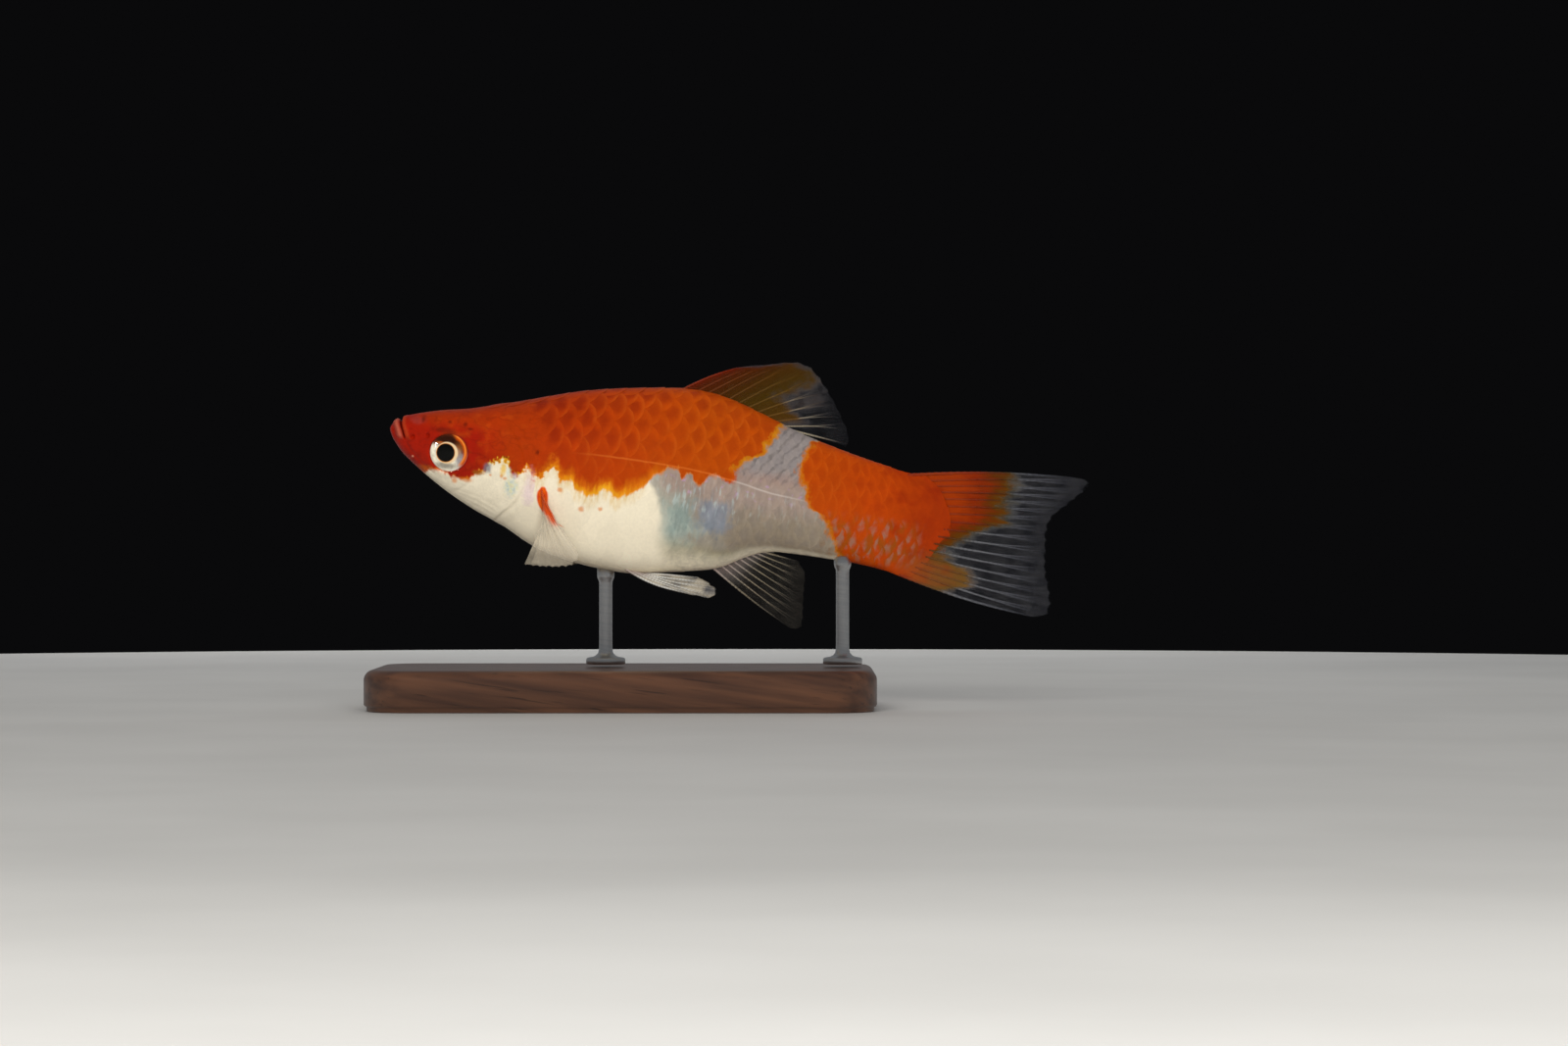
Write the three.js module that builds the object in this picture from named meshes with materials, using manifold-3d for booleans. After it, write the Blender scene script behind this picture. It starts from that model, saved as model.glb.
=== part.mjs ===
// A female swordtail of an orange, red and white form, life size, on a plain display stand.
// Millimetres, +Z up. The fish faces -X, its left side faces -Y, and its head is raised a little.
// Sizes of the fish are in its own level frame: x runs from the tip of the lower lip towards the
// tail, z is the height above that tip, and the group that holds the fish then tilts it.
import * as THREE from "three";
import { mergeVertices } from "three/addons/utils/BufferGeometryUtils.js";
import Module from "manifold-3d";

const wasm = await Module();
wasm.setup();

// Driving sizes of the fish
const HEAD_UP_TILT = THREE.MathUtils.degToRad(8);
const BODY_END = 62;
const SEAM = 0.3;
const BODY_RINGS = 50;
const RING_SIDES = 36;

// Body profiles as [x, value]: back and belly lines, half width, height of the widest
// level as a share of the depth, and how square the upper and lower halves are
const BACK_LINE = [
  [0, 0], [0.15, 0.55], [0.6, 1.08], [1.6, 1.62], [4.9, 2.62], [8.5, 3.38], [13.2, 4.84], [20.4, 7.02],
  [28.7, 8.5], [32, 8.74], [35.1, 8.42], [39.5, 7.14], [43.4, 5.78], [48.4, 4.46], [54.9, 3.2],
  [57, 3.1], [62, 3.3],
];
const BELLY_LINE = [
  [0, 0], [0.15, -0.4], [0.6, -1.15], [2, -2.62], [6.4, -5.5], [10, -7.3], [12.4, -8.25], [16.6, -10.25],
  [19.8, -11.22], [24, -11.78], [28, -11.82], [31.1, -11.25], [34.3, -10.66], [37, -9.95], [40.4, -8.08],
  [43, -7.42], [50.9, -7.42], [54.2, -7.7], [57.1, -8.36], [62, -9.1],
];
const HALF_WIDTH = [
  [0, 0], [0.15, 0.75], [0.6, 1.3], [1.6, 1.9], [3.5, 2.5], [6.5, 3.2], [10, 3.9], [15, 4.6], [20, 5.05],
  [26, 5.2], [32, 4.75], [38, 3.7], [44, 2.75], [50, 2.1], [55, 1.45], [58.5, 0.9], [62, 0.5],
];
const WIDEST_LEVEL = [[0, 0.5], [4, 0.56], [8, 0.6], [14, 0.52], [26, 0.44], [40, 0.48], [62, 0.5]];
const UPPER_SQUARENESS = [[0, 2.4], [4, 2.8], [9, 2.6], [16, 2.1], [30, 1.85], [45, 1.9], [62, 2]];
const LOWER_SQUARENESS = [[0, 2.3], [5, 2], [12, 1.9], [22, 2.2], [32, 2.1], [45, 1.9], [62, 2]];

// Eye: its middle in side view, and its profile as [radius, height over the head's side]
const EYE = { x: 6.81, z: -1.7, sides: 28 };
const EYE_PROFILE = [
  [0.6, 0.33], [1.2, 0.27], [1.7, 0.15], [2, 0], [2.1, -0.16], [2.1, -0.8], [1.6, -1.2], [0.8, -1.4],
];
const EYE_FRONT = 0.35;
const EYE_REAR = -1.45;

// Fleshy end of the tail, round in side view
const TAIL_BASE = { x: 54.1, z: -2.9, radius: 6.9 };

// Fins: membrane, what a ray adds to it, the ray's share of the spacing, thickness at the tips,
// and depth of the sunk root
const MEMBRANE = 0.5;
const RIDGE = 0.32;
const RAY_SHARE = 0.34;
const FIN_TIP = 0.35;
const ROOT_DEPTH = 1.6;

// Display stand
const BASE = { length: 54, width: 27, height: 4.4, corner: 5, chamfer: 0.7, under: 25 };
const ROD = { radius: 0.9, collarRadius: 2.1, collarHeight: 0.9, xs: [25, 50], sides: 16 };
const LOWEST_FIN_CLEARANCE = 4;

const SKIN = { color: 0xd05a18, roughness: 0.35, metalness: 0 };
const PALE = { color: 0xe6d9bc, roughness: 0.35, metalness: 0 };
const FIN = { color: 0x8b909a, roughness: 0.4, metalness: 0 };
const EYE_SKIN = { color: 0x141210, roughness: 0.1, metalness: 0 };
const WOOD = { color: 0x2b1c14, roughness: 0.45, metalness: 0 };
const STEEL = { color: 0xb9bcc0, roughness: 0.3, metalness: 1 };

// A smooth curve through [x, value] points, as a function of x
function smooth(points) {
  const slope = (i) => {
    const before = points[Math.max(i - 1, 0)];
    const after = points[Math.min(i + 1, points.length - 1)];
    return (after[1] - before[1]) / (after[0] - before[0]);
  };
  return (x) => {
    const last = points.length - 2;
    let i = points.findIndex((p) => p[0] > x) - 1;
    if (i < 0) i = x < points[0][0] ? 0 : last;
    const [x0, y0] = points[i];
    const [x1, y1] = points[i + 1];
    const span = x1 - x0;
    const t = THREE.MathUtils.clamp((x - x0) / span, 0, 1);
    const s = 1 - t;
    return (
      y0 * s * s * (1 + 2 * t) + y1 * t * t * (3 - 2 * t)
      + span * (slope(i) * t * s * s - slope(i + 1) * t * t * s)
    );
  };
}

const back = smooth(BACK_LINE);
const belly = smooth(BELLY_LINE);
const halfWidth = smooth(HALF_WIDTH);
const widestLevel = smooth(WIDEST_LEVEL);
const upperSquareness = smooth(UPPER_SQUARENESS);
const lowerSquareness = smooth(LOWER_SQUARENESS);

// The body's surface at x, turned by angle from the top over the left side, grown by some mm
function skinPoint(x, angle, grow = 0) {
  const top = back(x) + grow;
  const bottom = belly(x) - grow;
  const middle = bottom + widestLevel(x) * (top - bottom);
  const c = Math.cos(angle);
  const s = Math.sin(angle);
  const power = 2 / (c > 0 ? upperSquareness(x) : lowerSquareness(x));
  const reach = c > 0 ? top - middle : middle - bottom;
  return new THREE.Vector3(
    x,
    -(halfWidth(x) + grow) * Math.sign(s) * Math.abs(s) ** power,
    middle + reach * Math.sign(c) * Math.abs(c) ** power,
  );
}

// How far the body's side stands from its middle plane at a point of the side view
function sideReach(x, z) {
  let low = 0;
  let high = Math.PI;
  for (let i = 0; i < 30; i++) {
    const half = (low + high) / 2;
    if (skinPoint(x, half).z > z) low = half;
    else high = half;
  }
  return -skinPoint(x, low).y;
}

// three.js geometry to a closed manifold-3d solid, with collapsed triangles dropped
function solidOf(geometry) {
  const bare = geometry.index ? geometry.toNonIndexed() : geometry.clone();
  bare.deleteAttribute("normal");
  bare.deleteAttribute("uv");
  const merged = mergeVertices(bare, 1e-4);
  const all = merged.index.array;
  const kept = [];
  for (let i = 0; i < all.length; i += 3) {
    const [a, b, c] = [all[i], all[i + 1], all[i + 2]];
    if (a !== b && b !== c && c !== a) kept.push(a, b, c);
  }
  const build = (triVerts) => new wasm.Manifold(
    new wasm.Mesh({ numProp: 3, vertProperties: merged.attributes.position.array, triVerts }),
  );
  const made = build(new Uint32Array(kept));
  return made.volume() > 0 ? made : build(new Uint32Array(kept.reverse()));
}

const mirrored = (solid) => solid.mirror([0, 1, 0]);
const bothSides = (solids) => solids.flatMap((solid) => [solid, mirrored(solid)]);
const cutAway = (solid, cutters) => cutters.reduce((left, cutter) => left.subtract(cutter), solid);

// The largest closed piece of a solid
function largest(solid) {
  const volume = (piece) => piece.volume();
  return solid.decompose().reduce((a, b) => (volume(b) > volume(a) ? b : a));
}

function meshOf(name, solid, look) {
  const cut = largest(solid).getMesh();
  const geometry = new THREE.BufferGeometry();
  geometry.setAttribute("position", new THREE.BufferAttribute(cut.vertProperties, 3));
  geometry.setIndex(new THREE.BufferAttribute(cut.triVerts, 1));
  const mesh = new THREE.Mesh(geometry, new THREE.MeshStandardMaterial(look));
  mesh.name = name;
  return mesh;
}

// A closed surface over rings of points; an end is a point or is closed flat
function ringSolid(rings, startPoint, endPoint) {
  const sides = rings[0].length;
  const points = [...rings.flat(), startPoint, endPoint];
  const start = points.length - 2;
  const faces = [];
  for (let s = 0; s < sides; s++) {
    const next = (s + 1) % sides;
    faces.push(start, next, s);
    for (let r = 0; r < rings.length - 1; r++) {
      const a = r * sides;
      faces.push(a + s, a + next, a + sides + next, a + s, a + sides + next, a + sides + s);
    }
    const last = (rings.length - 1) * sides;
    faces.push(last + s, last + next, start + 1);
  }
  const geometry = new THREE.BufferGeometry().setFromPoints(points);
  geometry.setIndex(faces);
  return solidOf(geometry);
}

// The whole body from lip to tail, grown or shrunk by some mm
function bodySolid(grow = 0) {
  const rings = [];
  for (let i = 1; i <= BODY_RINGS; i++) {
    const share = i / BODY_RINGS;
    const x = BODY_END * share ** 1.5;
    const ring = [];
    for (let s = 0; s < RING_SIDES; s++) {
      ring.push(skinPoint(x, (2 * Math.PI * s) / RING_SIDES, grow));
    }
    rings.push(ring);
  }
  const tip = new THREE.Vector3(-grow, 0, 0);
  const end = new THREE.Vector3(BODY_END + grow, 0, (back(BODY_END) + belly(BODY_END)) / 2);
  return ringSolid(rings, tip, end);
}

// A prism through a closed outline of the side view, from y = low to y = high
function sidePrism(outline, low = -20, high = 20) {
  const shape = new THREE.Shape(outline.map(([x, z]) => new THREE.Vector2(x, z)));
  const prism = new THREE.ExtrudeGeometry(shape, { depth: high - low, bevelEnabled: false });
  prism.rotateX(Math.PI / 2);
  prism.translate(0, high, 0);
  return solidOf(prism);
}

const shifted = (outline, dx, dz = 0) => outline.map(([x, z]) => [x + dx, z + dz]);

// A clockwise outline pushed outward by some mm
function pushedOut(outline, distance) {
  const curve = outline.map(([x, z]) => new THREE.Vector2(x, z));
  return curve.map((point, i) => {
    const before = curve[(i + curve.length - 1) % curve.length];
    const after = curve[(i + 1) % curve.length];
    const along = after.clone().sub(before).normalize();
    return [point.x - along.y * distance, point.y + along.x * distance];
  });
}

// A round bar along a path, whose radius changes, with pointed ends
function taperedBar(path, radius, steps, sides) {
  const rings = [];
  const frames = path.computeFrenetFrames(steps, false);
  for (let i = 0; i <= steps; i++) {
    const centre = path.getPointAt(i / steps);
    const ring = [];
    for (let s = 0; s < sides; s++) {
      const turn = (2 * Math.PI * s) / sides;
      const out = frames.normals[i].clone().multiplyScalar(Math.cos(turn))
        .addScaledVector(frames.binormals[i], Math.sin(turn));
      ring.push(centre.clone().addScaledVector(out, radius(i / steps)));
    }
    rings.push(ring);
  }
  const tipAt = (i, sign) => path.getPointAt(i / steps)
    .addScaledVector(path.getTangentAt(i / steps), sign * radius(i / steps) * 0.7);
  return ringSolid(rings, tipAt(0, -1), tipAt(steps, 1));
}

// Solids of the body, shared by the cuts below
const body = bodySolid();
const bodyGrown = bodySolid(SEAM);

// The gill opening's edge in side view, from above the nape to below the throat
const GILL_LINE = [
  [10.2, 5.2], [12.2, 2.6], [13.8, 0.8], [14.8, -1], [15.3, -3], [15.1, -4.8], [14.3, -6.2], [13, -7.5],
  [11.2, -9.4],
];
const headOutline = [[-3, 9], [8, 9], ...GILL_LINE, [8, -14], [-3, -14]];
const trunkFront = sidePrism(shifted(headOutline, SEAM * 1.2));
const TAIL_CUT = 45.5;
const slab = (from, to) => sidePrism([[from, 20], [to, 20], [to, -20], [from, -20]]);

// Mouth: a cleft that opens upwards, and the seam of the lower jaw behind it
const JAW_LINE = [[1.62, -0.95], [2.6, -2.2], [4.2, -3.35], [5.3, -4.1], [5.9, -7]];
const jawOutline = [[-3, 4], [0.82, 4], [0.98, 0.9], ...JAW_LINE, [-3, -7]];
const jawHollow = [[-3, 4], [1.32, 4], [1.3, 0.9], ...shifted(JAW_LINE, SEAM, SEAM * 0.6), [-3, -7]];

function lip(front, corner, thickness) {
  const points = [];
  for (let t = -1; t <= 1.001; t += 0.25) {
    const bow = t * t;
    points.push(new THREE.Vector3(
      front.x + (corner.x - front.x) * bow,
      corner.y * Math.sin((t * Math.PI) / 2),
      front.z + (corner.z - front.z) * bow,
    ));
  }
  const path = new THREE.CatmullRomCurve3(points);
  return taperedBar(path, (t) => thickness * (1 - 0.65 * (2 * t - 1) ** 2), 12, 8);
}

const lowerLip = lip({ x: 0.5, z: 0.62 }, { x: 1.62, y: 1.75, z: -0.85 }, 0.44);
const upperLip = lip({ x: 1.66, z: 1.22 }, { x: 2.15, y: 1.9, z: -0.4 }, 0.4);

// Gill covers: plates set in the sides of the head, whose free rear edge is the gill line
const COVER_FRONT = [[11.6, -7.3], [9.2, -5.6], [9.7, -4], [10.1, -2], [10.1, -0.2], [10.4, 1.2]];
const coverEdge = GILL_LINE.slice(2, -1);
const gillCover = [...COVER_FRONT, [12.2, 1.7], ...coverEdge];
const GILL_COVER_DEPTH = 1;
const GILL_COVER_LIFT = 0.15;
const coverShell = bodySolid(GILL_COVER_LIFT).subtract(bodySolid(-GILL_COVER_DEPTH));
const recessShell = bodySolid(1).subtract(bodySolid(-GILL_COVER_DEPTH - SEAM));
const leftCover = coverShell.intersect(sidePrism(gillCover, -20, -1));
const coverRecess = recessShell.intersect(sidePrism(pushedOut(gillCover, SEAM), -20, -0.7));

// A place over the head's left side, raised along the side's own outward direction
function overSide(x, z, height) {
  const small = 0.05;
  const slopeX = (sideReach(x + small, z) - sideReach(x - small, z)) / (2 * small);
  const slopeZ = (sideReach(x, z + small) - sideReach(x, z - small)) / (2 * small);
  const outward = new THREE.Vector3(-slopeX, -1, -slopeZ).normalize();
  return new THREE.Vector3(x, -sideReach(x, z), z).addScaledVector(outward, height);
}

// The left eye, a low dome that lies flush in the head, grown by some mm for its socket
function eyeBall(grow) {
  const grownHeight = (height) => height + (height > -0.5 ? grow : -grow);
  const rings = EYE_PROFILE.map(([radius, height]) => {
    const ring = [];
    for (let s = 0; s < EYE.sides; s++) {
      const turn = (2 * Math.PI * s) / EYE.sides;
      const x = EYE.x + (radius + grow) * Math.cos(turn);
      const z = EYE.z + (radius + grow) * Math.sin(turn);
      ring.push(overSide(x, z, grownHeight(height)));
    }
    return ring;
  });
  const front = overSide(EYE.x, EYE.z, grownHeight(EYE_FRONT));
  return ringSolid(rings, front, overSide(EYE.x, EYE.z, grownHeight(EYE_REAR)));
}

// An ellipsoid at a place, for the nostrils
function ellipsoid(centre, radii, across, rings) {
  const ball = new THREE.SphereGeometry(1, across, rings);
  ball.rotateX(Math.PI / 2);
  ball.scale(...radii);
  ball.translate(...centre);
  return solidOf(ball);
}

// Nostrils: two pits on each side of the snout, as [x, z]
const NOSTRILS = [[2.7, -0.55], [4.3, -0.2]];
const NOSTRIL_RADIUS = 0.3;
const pits = NOSTRILS.map(([x, z]) => ellipsoid(
  [x, -sideReach(x, z), z],
  [NOSTRIL_RADIUS, NOSTRIL_RADIUS * 1.2, NOSTRIL_RADIUS],
  8,
  6,
));

// Head and jaw
const jawSolid = body.intersect(sidePrism(jawOutline)).add(lowerLip);
const headSolid = cutAway(
  body.intersect(sidePrism(headOutline)).subtract(sidePrism(jawHollow)).add(upperLip),
  bothSides([coverRecess, eyeBall(SEAM), ...pits]),
);

// Trunk and tail stalk; the stalk's fleshy end is round in side view
const trunkSolid = body.subtract(trunkFront).intersect(slab(0, TAIL_CUT));
const tailEnd = (grow) => slab(0, TAIL_BASE.x).add(solidOf(
  new THREE.CylinderGeometry(TAIL_BASE.radius + grow, TAIL_BASE.radius + grow, 20, 64)
    .translate(TAIL_BASE.x, 0, TAIL_BASE.z),
));
const stalkSolid = body.subtract(slab(-1, TAIL_CUT + SEAM)).intersect(tailEnd(0));
const stalkGrown = bodyGrown.intersect(tailEnd(SEAM));

// A fin: a thin sheet between a root line and a margin, with its rays as ridges on both faces.
// root and margin give points for u from 0 to 1 across the fin, and each ray starts sunk mm
// inside the body. bow bends the rays, most at the share peak of their length, and across is
// the direction through the membrane.
function finSolid({ rays, rows, root, margin, bow, across, sunk = ROOT_DEPTH, peak = 0.5 }) {
  const columns = [];
  for (let ray = 0; ray < rays; ray++) {
    const middle = (ray + 0.5) / rays;
    columns.push({ u: ray / rays, raised: 0 });
    columns.push({ u: middle - RAY_SHARE / 2 / rays, raised: 1 });
    columns.push({ u: middle + RAY_SHARE / 2 / rays, raised: 1 });
  }
  columns.push({ u: 1, raised: 0 });
  const bend = Math.log(0.5) / Math.log(peak);
  const faces = [[], []];
  for (const { u, raised } of columns) {
    const to = margin(u);
    const start = root(u);
    const from = start.clone().addScaledVector(start.clone().sub(to).normalize(), sunk);
    for (let row = 0; row <= rows; row++) {
      const v = row / rows;
      const middle = from.clone().lerp(to, v).addScaledVector(bow(u), Math.sin(Math.PI * v ** bend));
      const thick = THREE.MathUtils.lerp(MEMBRANE + RIDGE * raised, FIN_TIP, v ** 3);
      faces[0].push(middle.clone().addScaledVector(across, thick / 2));
      faces[1].push(middle.clone().addScaledVector(across, -thick / 2));
    }
  }
  return solidOf(sheetGeometry(faces, columns.length, rows + 1));
}

// A closed sheet from two like grids of points: the two faces and the wall round their edge
function sheetGeometry([front, rear], columns, rows) {
  const at = (column, row) => column * rows + row;
  const offset = front.length;
  const index = [];
  const quad = (a, b, c, d) => index.push(a, b, c, a, c, d);
  for (let i = 0; i < columns - 1; i++) {
    for (let j = 0; j < rows - 1; j++) {
      const corners = [at(i, j), at(i + 1, j), at(i + 1, j + 1), at(i, j + 1)];
      const [a, b, c, d] = corners;
      quad(a, b, c, d);
      index.push(a + offset, c + offset, b + offset, a + offset, d + offset, c + offset);
    }
  }
  const edge = [];
  for (let i = 0; i < columns - 1; i++) edge.push(at(i, 0));
  for (let j = 0; j < rows - 1; j++) edge.push(at(columns - 1, j));
  for (let i = columns - 1; i > 0; i--) edge.push(at(i, rows - 1));
  for (let j = rows - 1; j > 0; j--) edge.push(at(0, j));
  edge.forEach((a, k) => {
    const b = edge[(k + 1) % edge.length];
    quad(b, a, a + offset, b + offset);
  });
  const geometry = new THREE.BufferGeometry().setFromPoints([...front, ...rear]);
  geometry.setIndex(index);
  return geometry;
}

// A smooth line through points, taken by its length
function lineThrough(points) {
  const curve = new THREE.CatmullRomCurve3(
    points.map((p) => new THREE.Vector3(p[0], p.length > 2 ? p[1] : 0, p[p.length - 1])),
    false,
    "centripetal",
  );
  return (u) => curve.getPointAt(u);
}

const SIDEWAYS = new THREE.Vector3(0, 1, 0);

// Dorsal fin: its first ray lies along the front edge, and its last ones lie close to the back
const dorsalFin = finSolid({
  rays: 12,
  rows: 8,
  root: (u) => {
    const x = THREE.MathUtils.lerp(30.9, 43.9, u);
    return new THREE.Vector3(x, 0, back(x));
  },
  margin: lineThrough([
    [35.9, 11.6], [37.4, 12.05], [39.1, 12.4], [41.4, 12.98], [42.9, 13.05], [44.1, 12.5],
    [45.7, 10.85], [47, 9.1], [48.4, 6.9], [48.9, 5.7], [48.7, 4.95],
  ]),
  bow: (u) => new THREE.Vector3(0, 0.25 * u, 0.3 * (1 - u)),
  across: SIDEWAYS,
});

// Anal fin of a female: a short fan below the rear of the trunk
const analFin = finSolid({
  rays: 9,
  rows: 7,
  root: (u) => {
    const x = THREE.MathUtils.lerp(36.6, 41.9, u);
    return new THREE.Vector3(x, 0, belly(x));
  },
  margin: lineThrough([
    [45.4, -15.2], [46.3, -15.25], [46.7, -14.6], [46.55, -12.9], [46.36, -10.8], [46.2, -9.2], [45.2, -7.95],
  ]),
  bow: (u) => new THREE.Vector3(0.1, -0.2, -0.3 * (1 - u)),
  across: SIDEWAYS,
});

// Tail fin: a drawn-out upper corner, a shallow notch and a long lower part
const tailFin = finSolid({
  rays: 17,
  rows: 8,
  root: lineThrough([[56.3, 2.9], [58.6, 1.4], [60.1, -1], [60.4, -3.6], [59.3, -6.4], [57, -8.1]]),
  margin: lineThrough([
    [73.4, 4.98], [74.7, 4.92], [74.95, 4.5], [74.6, 3.7], [73.15, 2.12], [71.6, 0.4], [71.25, -1],
    [71.4, -3], [71.75, -5.4], [72.5, -7.6], [72.75, -9.2], [72.3, -10.1], [71, -10.42],
  ]),
  bow: (u) => new THREE.Vector3(0, 0.5 * Math.sin(2 * Math.PI * u), 0.42 * (1 - 2 * u)),
  across: SIDEWAYS,
});

// Left pectoral fin: a fan that hangs down from the side, just behind the gill opening
const leftPectoral = finSolid({
  rays: 11,
  rows: 7,
  root: (u) => {
    const x = THREE.MathUtils.lerp(17.7, 16.6, u);
    const z = THREE.MathUtils.lerp(-4.4, -6.8, u);
    return new THREE.Vector3(x, -sideReach(x, z), z);
  },
  margin: lineThrough([
    [21.6, -6.3, -9.6], [22.2, -6.5, -10.6], [21.7, -6.6, -11.6], [20.3, -6.6, -12.1], [18.4, -6.5, -12.3],
    [16.6, -6.2, -12.3],
  ]),
  bow: (u) => new THREE.Vector3(-0.5 * (1 - u), -1.1, 0),
  across: new THREE.Vector3(0.25, 1, -0.2).normalize(),
  sunk: 1.2,
  peak: 0.36,
});

// Left pelvic fin: a narrow fan that trails along the belly
const leftPelvic = finSolid({
  rays: 6,
  rows: 8,
  root: lineThrough([[28.3, -1.7, -11.6], [29.9, -0.65, -11.6]]),
  margin: lineThrough([
    [34.9, -3, -13.15], [36.6, -2.6, -13], [37.1, -2, -12.5], [36.3, -1.5, -11.8], [34.9, -1.2, -11.1],
  ]),
  bow: (u) => new THREE.Vector3(-0.3, -0.3, -0.35 * (1 - u)),
  across: new THREE.Vector3(0, 0.62, -0.78),
});

const paired = (name, left, look) => [
  meshOf(`${name}_left`, left, look),
  meshOf(`${name}_right`, mirrored(left), look),
];

// The fish, tilted as a whole
const fish = new THREE.Group();
fish.rotation.y = HEAD_UP_TILT;
fish.add(
  meshOf("head", headSolid, SKIN),
  meshOf("lower_jaw", jawSolid, SKIN),
  ...paired("gill_cover", leftCover, PALE),
  ...paired("eye", eyeBall(0), EYE_SKIN),
  meshOf("trunk", trunkSolid, SKIN),
  meshOf("tail_stalk", stalkSolid, SKIN),
  meshOf("dorsal_fin", dorsalFin.subtract(bodyGrown), FIN),
  meshOf("anal_fin", analFin.subtract(bodyGrown), FIN),
  meshOf("tail_fin", tailFin.subtract(stalkGrown), FIN),
  ...paired("pectoral_fin", leftPectoral.subtract(bodyGrown), FIN),
  ...paired("pelvic_fin", leftPelvic.subtract(bodyGrown), FIN),
);
fish.updateMatrixWorld(true);

// The stand: a flat base under the fish's weight, and two rods with collars up to the belly
const fishBox = new THREE.Box3().setFromObject(fish, true);
const baseTop = fishBox.min.z - LOWEST_FIN_CLEARANCE;
const baseCentre = new THREE.Vector3(BASE.under, 0, 0);

function roundedPlate({ length, width, height, corner, chamfer }) {
  const x = length / 2 - chamfer;
  const y = width / 2 - chamfer;
  const shape = new THREE.Shape();
  shape.moveTo(-x + corner, -y);
  shape.lineTo(x - corner, -y);
  shape.absarc(x - corner, -y + corner, corner, -Math.PI / 2, 0);
  shape.absarc(x - corner, y - corner, corner, 0, Math.PI / 2);
  shape.absarc(-x + corner, y - corner, corner, Math.PI / 2, Math.PI);
  shape.absarc(-x + corner, -y + corner, corner, Math.PI, 1.5 * Math.PI);
  return new THREE.ExtrudeGeometry(shape, {
    depth: height - 2 * chamfer,
    bevelThickness: chamfer,
    bevelSize: chamfer,
    bevelSegments: 2,
    curveSegments: 5,
  }).translate(0, 0, chamfer);
}

const plate = solidOf(
  roundedPlate(BASE).translate(baseCentre.x, 0, baseTop - BASE.height),
);
const fishSpace = bodyGrown.transform(fish.matrixWorld.elements);
const rods = ROD.xs.map((x) => {
  const above = new THREE.Vector3(x, 0, belly(x)).applyMatrix4(fish.matrixWorld);
  const foot = baseTop + SEAM;
  const collarTop = foot + ROD.collarHeight;
  const profile = [
    [0, foot], [ROD.collarRadius, foot], [ROD.collarRadius, collarTop - 0.3],
    [ROD.collarRadius - 0.3, collarTop], [ROD.radius, collarTop], [ROD.radius, above.z + 2],
    [0, above.z + 2],
  ];
  const lathe = new THREE.LatheGeometry(profile.map(([r, z]) => new THREE.Vector2(r, z)), ROD.sides);
  return solidOf(lathe.rotateX(Math.PI / 2).translate(above.x, 0, 0)).subtract(fishSpace);
});

const model = new THREE.Group();
model.add(
  fish,
  meshOf("stand_base", plate, WOOD),
  meshOf("stand_rod_front", rods[0], STEEL),
  meshOf("stand_rod_rear", rods[1], STEEL),
);

// The origin is at the middle of the underside of the whole model's box
const whole = new THREE.Box3().setFromObject(model, true);
const middle = whole.getCenter(new THREE.Vector3());
const part = new THREE.Group();
model.position.set(-middle.x, -middle.y, -whole.min.z);
part.add(model);

export default part;
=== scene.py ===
"""Looks of a life-size female swordtail on a plain display stand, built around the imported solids.

Sizes of the fish are millimetres in its own level frame, as in the solids: x runs from the tip of
the lower lip to the tail, y towards the fish's right side, z up. The whole fish is then tilted and
put where the solids hold it.
"""
import math
from types import SimpleNamespace

import bpy
import numpy as np
from mathutils import Euler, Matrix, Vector


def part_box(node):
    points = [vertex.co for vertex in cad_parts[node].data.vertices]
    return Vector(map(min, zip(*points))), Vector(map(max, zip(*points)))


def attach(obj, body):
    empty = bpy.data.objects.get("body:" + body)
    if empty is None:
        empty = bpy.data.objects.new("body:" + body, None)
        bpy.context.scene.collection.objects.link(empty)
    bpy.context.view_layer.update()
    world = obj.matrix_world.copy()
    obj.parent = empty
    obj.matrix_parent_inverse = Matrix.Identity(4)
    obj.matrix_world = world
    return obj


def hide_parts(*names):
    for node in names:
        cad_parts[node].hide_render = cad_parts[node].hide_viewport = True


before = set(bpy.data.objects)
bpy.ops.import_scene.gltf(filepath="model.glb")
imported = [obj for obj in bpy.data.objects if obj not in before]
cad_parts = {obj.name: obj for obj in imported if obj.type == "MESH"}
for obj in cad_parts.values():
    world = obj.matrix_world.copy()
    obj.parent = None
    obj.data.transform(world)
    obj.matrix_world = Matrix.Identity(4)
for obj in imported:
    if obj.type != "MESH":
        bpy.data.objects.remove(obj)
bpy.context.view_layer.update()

MM = 0.001
HEAD_UP_TILT = math.radians(8)

# Fleshy end of the tail: rings bend from flat to this arc between the two stations
TAIL_ARC_X, TAIL_ARC_Z, TAIL_ARC_RADIUS = 54.1, -2.9, 6.9
TAIL_BEND_START, TAIL_BEND_END = 50.0, 61.0
TAIL_END_THINNING = 0.72

# Landmarks of the head in side view, and the solid eye's rings as (radius, height)
EYE_X, EYE_Z, EYE_RADIUS = 6.81, -1.7, 2.1
PUPIL_X, PUPIL_Z, PUPIL_RADIUS = 6.49, -1.77, 0.95
EYE_SOLID = [(1.2, 0.27), (1.7, 0.15), (2, 0), (2.1, -0.16), (2.1, -0.8), (1.6, -1.2)]
EYE_SOLID_SIDES = 28
LENS_RADIUS = 2.12
CORNEA_HEIGHT = 0.36
NOSTRILS = [(2.7, -0.55), (4.3, -0.2)]
MOUTH_LINE = [(2.0, -1.3), (1.82, -0.8), (1.66, -0.42), (1.5, -0.06), (1.22, 0.48), (1.06, 0.92), (1.02, 1.3)]
LATERAL_LINE = [
    (13, -0.9), (17.22, -0.34), (21.92, 0.19), (30.51, 0.18), (37.29, -0.49), (41.85, -1.27),
    (44.96, -1.53), (49.27, -1.98), (53.51, -2.02), (58.86, -2.33), (62, -2.4),
]

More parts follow.
